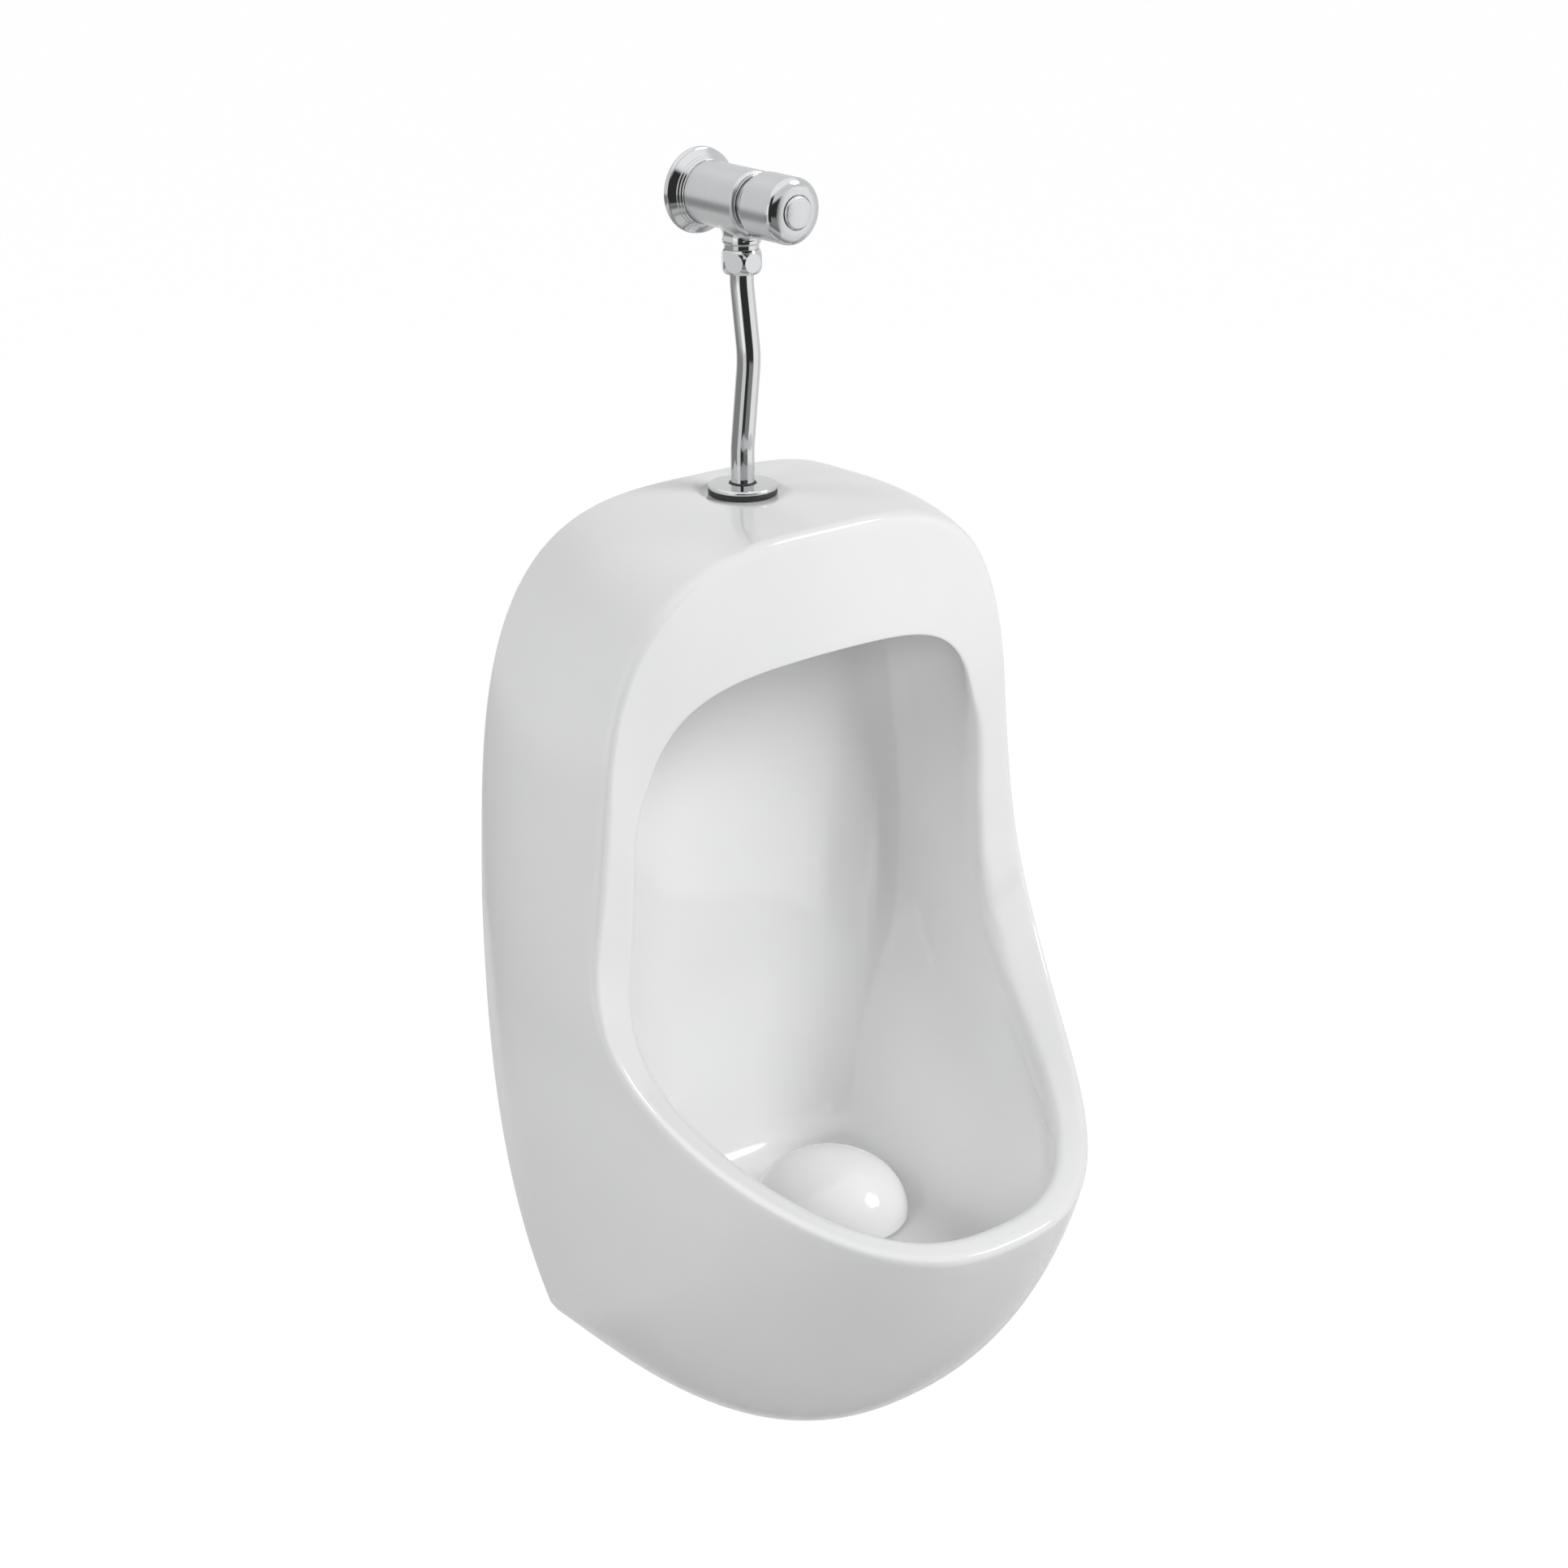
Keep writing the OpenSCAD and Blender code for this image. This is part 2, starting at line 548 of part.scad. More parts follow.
// Points and directions along the route: both ends, and each bend as an arc
bend_steps = 5;
function bend_stations(i) =
    let (d = unit(route[i] - route[i - 1]), e = unit(route[i + 1] - route[i]), bend = bend_angle(d, e),
         left = sign(d[0]*e[1] - d[1]*e[0]), r = setback(i)/tan(bend/2),
         centre = route[i] - d*setback(i) + left*r*[-d[1], d[0]])
    [for (j = [0:bend_steps]) let (a = left*bend*j/bend_steps,
         along = [d[0]*cos(a) - d[1]*sin(a), d[0]*sin(a) + d[1]*cos(a)])
        [centre + left*r*[along[1], -along[0]], along]];
last_stop = len(route) - 1;
stations = concat(
    [[route[0], unit(route[1] - route[0])]],
    [for (i = [1:last_stop - 1]) each bend_stations(i)],
    [[route[last_stop], unit(route[last_stop] - route[last_stop - 1])]]);
pipe_sides = 24;
module flush_pipe() {
    count = len(stations);
    n = pipe_sides;
    points = [for (r = [pipe_r, pipe_r - pipe_wall], s = stations, j = [0:n - 1])
        let (a = 360*j/n, q = s[0] + r*sin(a)*[-s[1][1], s[1][0]]) [r*cos(a), -q[0], q[1]]];
    inner = count*n;
    faces = [for (i = [0:count - 2], j = [0:n - 1]) let (k = (j + 1) % n, a = i*n, b = a + n)
        each [[a + j, a + k, b + k], [a + j, b + k, b + j],
              [inner + a + k, inner + a + j, inner + b + j], [inner + a + k, inner + b + j, inner + b + k]]];
    ends = [for (j = [0:n - 1]) let (k = (j + 1) % n, a = (count - 1)*n)
        each [[k, j, inner + j], [k, inner + j, inner + k],
              [a + j, a + k, inner + a + k], [a + j, inner + a + k, inner + a + j]]];
    color("silver") polyhedron(points, concat(faces, ends), convexity = 6);
}

module at_spud() {
    translate([0, -pipe_reach, seat_z]) children();
}
rosette_t = 3.1;
spud_head_t = 2;
spud_bottom = -36;
module pipe_grommet() {
    color("black") at_spud() translate([0, 0, washer_t + rosette_t + 0.5]) turned([
        [pipe_r + fit, -1.4], [pipe_r + 0.9, -1.4], [pipe_r + 0.9, 0], [pipe_r + 1.2, 0],
        [pipe_r + 0.7, 0.9], [pipe_r + fit, 0.9]]);
}
// A shallow turned disc with a rolled edge, hollow over the head of the spud
module inlet_rosette() {
    r = rosette_d/2;
    hole = pipe_r + 1;
    color("silver") at_spud() translate([0, 0, washer_t]) turned([
        [hole, spud_head_t + 0.2], [13.6, spud_head_t + 0.2], [13.6, 0], [r - 0.6, 0], [r, 0.6],
        [r, rosette_t - 1.4], [r - 0.5, rosette_t - 0.7], [r - 1.6, rosette_t - 0.4],
        [hole, rosette_t + 0.5]]);
}
module inlet_washer() {
    color("black") at_spud() ring(rosette_d/2 - 0.4, spud_r + gap, washer_t);
}
// A threaded tube through the top of the ceramic, with a head above and a nut below
module inlet_spud() {
    color("goldenrod") at_spud() turned([
        [pipe_r + fit, washer_t + spud_head_t], [13, washer_t + spud_head_t], [13, washer_t],
        [spud_r, washer_t], [spud_r, spud_bottom], [5.5, spud_bottom], [5.5, -16.5],
        [pipe_r + fit, -16.5], [pipe_r + fit, -9], [pipe_r + 1.5, -9], [pipe_r + 1.5, -6.6],
        [pipe_r + fit, -6.6]]);
}
module pipe_o_ring() {
    color("black") at_spud() translate([0, 0, -8.8]) ring(pipe_r + 1.45, pipe_r + fit, 2);
}
spud_wall = seat_z - ceiling_z + 0.5;
module spud_gasket() {
    color("black") at_spud() translate([0, 0, -spud_wall - 2]) ring(14.5, spud_r + gap, 2);
}
spud_nut_h = 7;
module spud_nut() {
    color("goldenrod") at_spud() translate([0, 0, -spud_wall - 2 - spud_nut_h])
        hex_nut(spud_nut_af, spud_nut_h, spud_r + thread_fit, 1);
}
// The nozzle under the spud throws the water down the back and the sides of the bowl
module spray_head() {
    top = -spud_wall - 2 - spud_nut_h - 0.4;
    bottom = spud_bottom - 7;
    color("white") at_spud() difference() {
        turned([[spud_r + thread_fit, top], [13.4, top], [13.4, spud_bottom - 1], [15, spud_bottom - 4],
                [15, bottom], [0, bottom], [0, bottom + 2], [11.5, bottom + 2],
                [11.5, spud_bottom - 0.2], [spud_r + thread_fit, spud_bottom - 0.2]]);
        for (a = [-60:30:240]) rotate([0, 0, a])
            translate([10, -1.5, bottom + 2]) cube([8, 3, 3]);
    }
}

// The dome rests on three feet, leaves a slot for the water all round and has a stem below
dome_base = floor_z + 2.5;
foot_z = floor_z + 0.7;
stem_r = 6;
socket_z = -26;
socket_h = 14;
stem_end = floor_z + socket_z + socket_h - dome_lift;
module drain_cover() {
    r = dome_d/2;
    outer = [for (a = [0:6:90]) [r*cos(a), dome_base + dome_h*sin(a)]];
    inner = [for (a = [90:-6:0]) [(r - dome_t)*cos(a), dome_base + (dome_h - dome_t)*sin(a)]];
    color("white") translate([0, -drain_reach, 0]) {
        turned(concat(outer, inner));
        for (a = [30:120:270]) rotate([0, 0, a]) translate([r - dome_t/2 - 0.2, 0, foot_z])
            cylinder(r = 1.6, h = 4, $fn = 24);
        translate([0, 0, stem_end]) cylinder(r = stem_r, h = dome_base + dome_h - dome_t/2 - stem_end,
                                             $fn = fine);
    }
}

// The waste: a flanged body in the bowl's recess, with a spoked socket for the cover's stem
flange_top = -1;
flange_t = 2.5;
tail_bore = tail_r - 3.5;
under_z = -wall - 5 + 0.5;
waste_washer_t = 3;
locknut_h = 8;
locknut_af = 2*tail_r + 16;
locknut_end = under_z - waste_washer_t - locknut_h;
tail_end = locknut_end - 8.5;
module at_drain() {
    translate([0, -drain_reach, floor_z]) children();
}
module waste_body() {
    color("silver") at_drain() {
        difference() {
            union() {
                turned([[tail_bore, tail_end], [tail_r, tail_end], [tail_r, flange_top - flange_t],
                        [drain_recess_r - 0.8, flange_top - flange_t], [drain_recess_r - 0.8, flange_top - 0.8],
                        [drain_recess_r - 1.6, flange_top], [tail_bore + 1, flange_top],
                        [tail_bore, flange_top - 1]]);
                translate([0, 0, socket_z]) cylinder(r = stem_r + 3, h = socket_h, $fn = fine);
                for (a = [0:60:120]) rotate([0, 0, a + 30]) translate([-tail_bore - 1, -1.2, socket_z])
                    cube([2*tail_bore + 2, 2.4, 5]);
            }
            translate([0, 0, socket_z - 1]) cylinder(r = stem_r + fit, h = 20, $fn = fine);
        }
    }
}
module waste_gasket() {
    color("black") at_drain() translate([0, 0, -drain_recess_t])
        ring(drain_recess_r - 1, tail_r + gap, drain_recess_t + flange_top - flange_t);
}
module waste_washer() {
    color("black") at_drain() translate([0, 0, under_z - waste_washer_t])
        ring(drain_recess_r + 1, tail_r + gap, waste_washer_t);
}
module waste_locknut() {
    color("white") at_drain() translate([0, 0, locknut_end]) rotate([0, 0, 30])
        hex_nut(locknut_af, locknut_h, tail_r + thread_fit, 1.5);
}

// The bottle trap hangs on the waste's tail; its cup unscrews for cleaning
collar_r = tail_r + 4;
nut_r = collar_r + 4.5;
socket_wall = 4;
head_h = 2*(outlet_r + socket_wall) + 2;
head_z = -outlet_drop - floor_z;
dip_r = 16;
module trap_inlet_nut() {
    top = locknut_end - 0.5;
    bottom = head_z + head_h/2 + 0.5;
    color("white") at_drain() difference() {
        union() {
            translate([0, 0, bottom]) cylinder(r = nut_r, h = top - bottom, $fn = fine);
            for (a = [8:30:338]) rotate([0, 0, a]) translate([nut_r - 0.2, 0, bottom + 1])
                cylinder(r = 1.6, h = top - bottom - 4, $fn = 16);
        }
        translate([0, 0, bottom - 1]) cylinder(r = tail_r + gap, h = 60, $fn = fine);
        translate([0, 0, bottom - 1]) cylinder(r = collar_r + thread_fit, h = top - bottom - 2, $fn = fine);
    }
}
module trap_inlet_seal() {
    color("black") at_drain() translate([0, 0, tail_end]) ring(collar_r - 0.2, tail_r + fit, 4.8);
}
wall_t = 3;
module trap_head() {
    low = head_z - head_h/2;
    high = head_z + head_h/2;
    color("white") at_drain() difference() {
        union() {
            translate([0, 0, low]) cylinder(r = trap_r, h = head_h, $fn = fine);
            translate([0, 0, high - 1]) cylinder(r = collar_r, h = tail_end - high + 1, $fn = fine);
            translate([0, trap_r - 6, head_z]) rotate([-90, 0, 0])
                cylinder(r = outlet_r + socket_wall, h = 24, $fn = fine);
            translate([0, 0, low - cup_thread + 2])
                cylinder(r = trap_r - wall_t - thread_fit, h = cup_thread - 1, $fn = fine);
        }
        translate([0, 0, low - cup_thread])
            cylinder(r = trap_r - 2*wall_t - 0.5, h = head_h + cup_thread - wall_t, $fn = fine);
        translate([0, 0, high - 10]) cylinder(r = dip_r + fit, h = 40, $fn = fine);
        translate([0, 0, tail_end - 2.2]) cylinder(r = tail_r + 1, h = 4, $fn = fine);
        translate([0, 10, head_z]) rotate([-90, 0, 0]) cylinder(r = outlet_r - 3, h = trap_r + 20, $fn = fine);
        translate([0, trap_r + 6, head_z]) rotate([-90, 0, 0])
            cylinder(r = outlet_r + fit, h = 20, $fn = fine);
    }
}
// The cup hangs down to a clearance over the inside of the ceramic's underside
trap_clear = 5;
underside = [for (v = [0:0.02:1]) let (p = shell(-90, v)) [-p[1], p[2]]];
cup_floor = lookup(drain_reach + trap_r, underside) + wall + trap_clear + wall_t - floor_z;
cup_thread = 12;
dip_clear = 10;
module dip_tube() {
    color("white") at_drain() turned([
        [dip_r - 1.5, cup_floor + dip_clear], [dip_r, cup_floor + dip_clear], [dip_r, tail_end - 2.1],
        [tail_r + 0.8, tail_end - 2.1], [tail_r + 0.8, tail_end - 0.1], [dip_r - 1.5, tail_end - 0.1]]);
}
module trap_cup() {
    top = head_z - head_h/2 - 0.3;
    color("white") at_drain() {
        difference() {
            union() {
                turned([[0, cup_floor - wall_t], [trap_r - 6, cup_floor - wall_t], [trap_r - 2, cup_floor],
                        [trap_r, cup_floor + 6], [trap_r, top], [0, top]]);
                for (a = [8:20:348]) rotate([0, 0, a]) translate([trap_r - 0.4, 0, top - cup_thread])
                    cylinder(r = 1.4, h = cup_thread - 1, $fn = 16);
            }
            translate([0, 0, cup_floor]) cylinder(r = trap_r - wall_t - 3.2, h = 60, $fn = fine);
            translate([0, 0, top - cup_thread - 0.2]) cylinder(r = trap_r - wall_t, h = 20, $fn = fine);
        }
    }
}
module trap_cup_seal() {
    low = head_z - head_h/2;
    color("black") at_drain() translate([0, 0, low - cup_thread - 0.4])
        ring(trap_r - wall_t - 0.1, trap_r - wall_t - 3, 2.3);
}
module on_outlet() {
    translate([0, 0, -outlet_drop]) rotate([90, 0, 0]) children();
}
// Distance from the wall to the face of the trap head's side socket
socket_face = drain_reach - trap_r - 18;
module outlet_nut() {
    color("white") on_outlet() translate([0, 0, socket_face - 10]) difference() {
        union() {
            cylinder(r = outlet_r + 7, h = 18, $fn = fine);
            for (a = [8:24:344]) rotate([0, 0, a]) translate([outlet_r + 6.8, 0, 1])
                cylinder(r = 1.5, h = 15, $fn = 16);
        }
        translate([0, 0, -1]) cylinder(r = outlet_r + gap, h = 30, $fn = fine);
        translate([0, 0, 3]) cylinder(r = outlet_r + socket_wall + thread_fit, h = 30, $fn = fine);
    }
}
module outlet_seal() {
    color("black") on_outlet() translate([0, 0, socket_face - 6.9]) ring(outlet_r + socket_wall - 0.2, outlet_r + fit, 6.8);
}
// The outlet pipe has a small stop bead in front of the wall
module outlet_pipe() {
    color("white") on_outlet() turned([
        [outlet_r - 2, -outlet_len], [outlet_r, -outlet_len], [outlet_r, 0.2],
        [outlet_r + 0.8, 0.7], [outlet_r + 0.8, 1.7], [outlet_r, 2.2],
        [outlet_r, socket_face + 10], [outlet_r - 2, socket_face + 10]]);
}

ceramic_body();
wall_hangers();
wall_escutcheon();
inlet_nipple();
valve_body();
valve_seat();
bonnet();
spindle_seal();
return_spring();
push_knob();
button_cap();
knob_screw();
spindle();
poppet();
poppet_seal();
union_nut();
union_seal();
flush_pipe();
pipe_grommet();
inlet_rosette();
inlet_washer();
inlet_spud();
pipe_o_ring();
spud_gasket();
spud_nut();
spray_head();
drain_cover();
waste_body();
waste_gasket();
waste_washer();
waste_locknut();
trap_inlet_nut();
trap_inlet_seal();
trap_head();
dip_tube();
trap_cup();
trap_cup_seal();
outlet_nut();
outlet_seal();
outlet_pipe();
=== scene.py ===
import math

import bmesh
import bpy
import numpy as np
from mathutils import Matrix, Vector


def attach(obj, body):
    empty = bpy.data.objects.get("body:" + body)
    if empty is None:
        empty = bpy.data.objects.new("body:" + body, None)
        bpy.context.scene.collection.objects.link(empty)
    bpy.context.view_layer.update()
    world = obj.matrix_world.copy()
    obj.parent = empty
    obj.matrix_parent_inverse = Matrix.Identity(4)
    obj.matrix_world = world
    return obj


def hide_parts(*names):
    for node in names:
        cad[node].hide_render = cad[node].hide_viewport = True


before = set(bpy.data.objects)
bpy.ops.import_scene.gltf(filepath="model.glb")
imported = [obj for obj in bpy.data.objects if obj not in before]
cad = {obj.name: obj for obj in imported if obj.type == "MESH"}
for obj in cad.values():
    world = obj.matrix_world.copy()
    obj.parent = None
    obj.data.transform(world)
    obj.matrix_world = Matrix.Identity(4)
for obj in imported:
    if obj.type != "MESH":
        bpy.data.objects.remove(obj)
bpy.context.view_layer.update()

# Camera. It stands to the left of the urinal and looks down on it, as the photograph does.
# Its place was worked out from the rim, the edges on the wall and the flush pipe's parts.
eye = Vector((-1.0603, -1.3807, 0.5852))
aim = Vector((0.0638, 0.0, -0.1161))
lens = bpy.data.cameras.new("camera")
lens.lens, lens.sensor_width, lens.sensor_fit = 69.12, 36.0, "HORIZONTAL"
lens.clip_end = 60.0
camera = bpy.data.objects.new("camera", lens)
camera.location = eye
camera.rotation_euler = (aim - eye).to_track_quat("-Z", "Y").to_euler()
bpy.context.scene.collection.objects.link(camera)
bpy.context.scene.camera = camera
bpy.context.scene.view_settings.view_transform = "Standard"


# Studio. Seven square lamps light the urinal softly. The world adds no light of its own: it is
# white to the camera, and the glaze and the chrome mirror a pale room in it, with a few darker
# and brighter parts and a round bright picture of the key lamp.
class Wire:
    """A shader socket to calculate with. Operators add Math nodes, and node() adds any other."""

    def __init__(self, tree, socket=None):
        self.tree, self.socket = tree, socket

    def node(self, kind, settings=None, inputs=None, out=0):
        """Adds one node: its settings first, then the values or wires of its sockets."""
        new = self.tree.nodes.new(kind)
        for name, value in (settings or {}).items():
            setattr(new, name, value)
        for key, value in (inputs or {}).items():
            if isinstance(value, Wire):
                self.tree.links.new(value.socket, new.inputs[key])
            else:
                new.inputs[key].default_value = value
        return Wire(self.tree, new.outputs[out] if new.outputs else None)

    def math(self, operation, *values):
        """A Math node on exactly the values given."""
        return self.node("ShaderNodeMath", {"operation": operation}, dict(enumerate(values)))

    def split(self):
        """The X, Y and Z of a vector."""
        parts = self.node("ShaderNodeSeparateXYZ", inputs={0: self}).socket.node.outputs
        return [Wire(self.tree, socket) for socket in parts]

    def rise(self, first, last):
        """0 up to first and 1 from last on, with a smooth step between them."""
        return self.node("ShaderNodeMapRange", {"interpolation_type": "SMOOTHSTEP"},
                         {"Value": self, "From Min": first, "From Max": last})

    def between(self, low, high, soft):
        """1 between low and high, falling to 0 over soft on both sides."""
        return self.rise(low - soft, low) * (1 - self.rise(high, high + soft))

    def __add__(self, other):
        return self.math("ADD", self, other)

    def __sub__(self, other):
        return self.math("SUBTRACT", self, other)

    def __rsub__(self, other):
        return self.math("SUBTRACT", other, self)

    def __mul__(self, other):
        return self.math("MULTIPLY", self, other)

    __radd__, __rmul__ = __add__, __mul__


def lamp_way(azimuth, elevation):
    """The unit vector from the urinal towards a lamp; azimuth 0 is straight ahead of it."""
    a, e = math.radians(azimuth), math.radians(elevation)
    return Vector((math.sin(a) * math.cos(e), -math.cos(a) * math.cos(e), math.sin(e)))


world = bpy.data.worlds.new("studio")
world.use_nodes = True
world.node_tree.nodes.clear()
start = Wire(world.node_tree)
camera_ray = start.node("ShaderNodeLightPath")
mirror_ray = start.node("ShaderNodeLightPath", out="Is Glossy Ray")
way = start.node("ShaderNodeTexCoord", out="Generated")
# turn is the angle in radians to the right of straight ahead, up the height from -1 to 1
east, north, up = way.split()
turn = start.math("ARCTAN2", east, 0 - north)


def panel(turns, heights, soft_turn, soft_height):
    """1 on the part of the room between two turns and two heights, with soft edges."""
    return turn.between(*turns, soft_turn) * up.between(*heights, soft_height)


key_at = (50, 38)
facing_key = way.node("ShaderNodeVectorMath", {"operation": "DOT_PRODUCT"},
                      {0: way, 1: tuple(lamp_way(*key_at))}, out="Value")
pale_room = 0.86
dark_side = panel((-1.0, -0.55), (-0.42, 0.56), 0.08, 0.12) * 0.82
dark_front = (panel((-0.8, 0.1), (-0.2, 0.2), 0.12, 0.1) * 0.25
              + panel((-0.9, 0.1), (-0.55, 0.2), 0.14, 0.14) * 0.57)
dim_back = panel((-2.95, -1.7), (-0.4, -0.24), 0.15, 0.16) * 0.55
dim_floor = up.rise(-0.5, -0.62) * 0.2 + up.rise(-0.66, -0.85) * 0.3
ceiling = up.rise(0.58, 0.8) * 0.35
right_card = panel((0.3, 1.1), (-0.75, 0.2), 0.14, 0.15) * 0.3
left_card = panel((-1.5, -1.2), (-0.12, 0.3), 0.1, 0.06) * 0.45
key_picture = facing_key.rise(0.98, 0.996) * 15
mirrored = (pale_room + ceiling + right_card + left_card + key_picture
            - start.math("MAXIMUM", dark_side, dark_front) - dim_back - dim_floor)
sky = start.node("ShaderNodeBackground", inputs={
    "Color": camera_ray + (1 - camera_ray) * mirror_ray * mirrored})
start.node("ShaderNodeOutputWorld", inputs={"Surface": sky})
bpy.context.scene.world = world


def softbox(name, azimuth, elevation, level, distance=2.2, size=0.8):
    """A square lamp that faces the urinal; level is how bright it makes a white card that faces
    it. Mirrors don't see it, because the world has the picture that they show."""
    lamp = bpy.data.lights.new(name, "AREA")
    lamp.shape, lamp.size = "SQUARE", size
    lamp.energy = level * math.pi ** 2 * distance ** 2
    box = bpy.data.objects.new(name, lamp)
    away = lamp_way(azimuth, elevation)
    box.location = Vector((0, -0.12, -0.2)) + away * distance
    box.rotation_euler = away.to_track_quat("Z", "Y").to_euler()
    box.visible_camera = False
    box.visible_glossy = False
    bpy.context.scene.collection.objects.link(box)


softbox("key_softbox", *key_at, 0.27, size=0.55)
softbox("right_high_fill", 35, 35, 0.385)
softbox("right_low_fill", 35, 10, 0.14)
softbox("front_fill", -40, 25, 0.3)
softbox("left_fill", -85, 29, 0.21)
softbox("back_fill", -120, 37, 0.25)
softbox("top_fill", 155, 38, 0.3, size=1.2)

# Floor. A plain pale floor, as far below the lip as it is in a washroom. To the camera it is
# nearly as white as the room round it, and it keeps a little of the urinal's shadow.
floor_half, floor_level, camera_white = 15, -0.95, 0.92
floor_mesh = bpy.data.meshes.new("floor")
floor_mesh.from_pydata([(x * floor_half, y * floor_half, floor_level)
                        for x, y in ((-1, -1), (1, -1), (1, 1), (-1, 1))], [], [(0, 1, 2, 3)])
floor = bpy.data.objects.new("floor", floor_mesh)
bpy.context.scene.collection.objects.link(floor)
pale = bpy.data.materials.new("pale_floor")
pale.use_nodes = True
pale.node_tree.nodes.clear()
start = Wire(pale.node_tree)
camera_ray = start.node("ShaderNodeLightPath")
matt = start.node("ShaderNodeBsdfDiffuse", inputs={"Color": (0.88, 0.88, 0.88, 1)})
white = start.node("ShaderNodeEmission", inputs={"Color": (1, 1, 1, 1), "Strength": 1.08})
both = start.node("ShaderNodeMixShader",
                  inputs={0: camera_ray * camera_white, 1: matt, 2: white})
start.node("ShaderNodeOutputMaterial", inputs={0: both})
floor_mesh.materials.append(pale)
floor.visible_glossy = False


# Ceramic body. One casting of vitreous china with a glossy white glaze: a shell, a flat rim and
# a bowl with an even wall, hollow and open at the back, where it stays unglazed. It hangs on
# the wall by its crossbar.
MM = 0.001


def smooth(x):
    """x held between 0 and 1 and eased at both ends."""
    x = np.clip(x, 0, 1)
    return x * x * (3 - 2 * x)


def mix(a, b, share):
    """a at share 0, b at share 1, and a straight line between them."""
    return a + (b - a) * share


def signed_power(value, power):
    """|value| to a power, with the sign of value."""
    return np.sign(value) * np.abs(value) ** power


def clean_cos(angle):
    """The cosine, and exactly 0 at a quarter turn."""
    c = np.cos(angle)
    return np.where(np.abs(c) < 1e-9, 0, c)


def sine(t):
    """The sine of t degrees."""
    return np.sin(np.radians(t))


def cosine(t):
    """The cosine of t degrees, and exactly 0 at a quarter turn."""
    return clean_cos(np.radians(t))


def by_height(values, k, power=1.0):
    """Passes through three values, for the top (k = 1), the sides (0) and the bottom (-1)."""
    top, side, bottom = values
    return side + np.where(k >= 0, top - side, bottom - side) * np.abs(k) ** power


def unit(v):
    """Each vector at length 1."""
    return v / np.linalg.norm(v, axis=-1, keepdims=True)


# Millimetres. On the wall: the body's top and bottom from the origin, its width, and how far the
# low corners draw in. The rim: its width high and low, its reach from the wall, and the lip's
# reach and drop. Then the wall's thickness, the rim's face above the mouth, beside it, low down
# and at the lip, and the bowl: its back wall, floor, drain and the flat round that.
body_top, body_drop, back_width, back_draws_in = 100.0, 493.5, 335.2, 39.8
rim_width, rim_low_width, rim_reach, lip_reach, lip_drop = 308.0, 345.0, 109.7, 290.6, 294.9
wall, apron, face, face_low, lip_face = 9.0, 76.0, 26.0, 32.5, 22.4
bowl_back, floor_z, drain_reach, drain_flat = 24.0, -349.0, 123.0, 40.0
seat_z = body_top - 4.2
rim_top = body_top - 5.6
ceiling_z = seat_z - wall + 0.5
crease_side_z, mouth_side_z = rim_top - 205.6, rim_top - 240.1
back_side_z, back_corner_z = body_top - 228.2, 69.6 - body_drop


def rim_loop(t, half, half_low, heights, reach, lip, bow, powers):
    """A loop like a rounded rectangle: x is the half width times |cos t|^(2/n) and the height
    follows |sin t|^(2/n); low down it widens and swings forward, and its top bows forward."""
    s = sine(t)
    power = 2 / np.where(s >= 0, powers[0], powers[1])
    k = signed_power(s, power)
    widened, bowed = smooth((0.35 - k) / 0.9), smooth((k - 0.4) / 0.5)
    x = mix(half, half_low, widened) * signed_power(cosine(t), power)
    forward = bow * np.maximum(1 - (x / half) ** 2, 0) * bowed
    y = reach + forward + (lip - reach) * np.maximum(-k, 0) ** powers[1]
    return np.stack([x, -y, by_height(heights, k)], -1)


def crease(t):
    """The outer rim's edge line."""
    return rim_loop(t, rim_width / 2, rim_low_width / 2, (rim_top, crease_side_z, -lip_drop),
                    rim_reach, lip_reach, bow=12.5, powers=(3.13, 2.61))


def mouth(t):
    """The mouth's edge line. Its top hangs a little, and more so towards both ends: by 3.7 mm
    and 17 mm times |x / half width|^2.15, eased in over the upper half."""
    half = rim_width / 2 - face
    line = rim_loop(t, half, rim_low_width / 2 - face_low,
                    (rim_top - apron, mouth_side_z, 4.6 - lip_drop),
                    rim_reach - 1.5, lip_reach - lip_face, bow=18.1, powers=(5.0, 2.63))
    line[..., 2] -= smooth(sine(t) / 0.5) * (3.7 + 17 * np.abs(line[..., 0] / half) ** 2.15)
    return line


def back_edge(t):
    """The outline on the wall. Above t = 0 it is a rounded top, a loop of power 3.5. Below it
    the side draws in with a share to the power 2.59 down to the low corner at t = -50, and the
    bottom from there to the middle is a shallow parabola."""
    f = np.where(t > 90, 180 - t, t)
    side = np.where(t > 90, -1.0, 1.0)
    half, low_half, corner = back_width / 2, back_width / 2 - back_draws_in, 50.0
    k = np.abs(sine(f)) ** (2 / 3.5)
    g, h = np.clip(-f / corner, 0, 1), np.clip((-corner - f) / (90 - corner), 0, 1)
    x_top = mix(half, half - 7.7, k) * np.maximum(cosine(f), 0) ** (2 / 3.5)
    x_low = np.where(f >= -corner, half - (half - low_half) * g ** 2.59, low_half * (1 - h))
    z_low = np.where(f >= -corner, mix(back_side_z, back_corner_z, g),
                     mix(back_corner_z, -body_drop, 1 - (1 - h) ** 2))
    x = np.where(f >= 0, x_top, x_low)
    z = np.where(f >= 0, mix(back_side_z, body_top, k), z_low)
    return np.stack([side * x, 0 * x, z], -1)


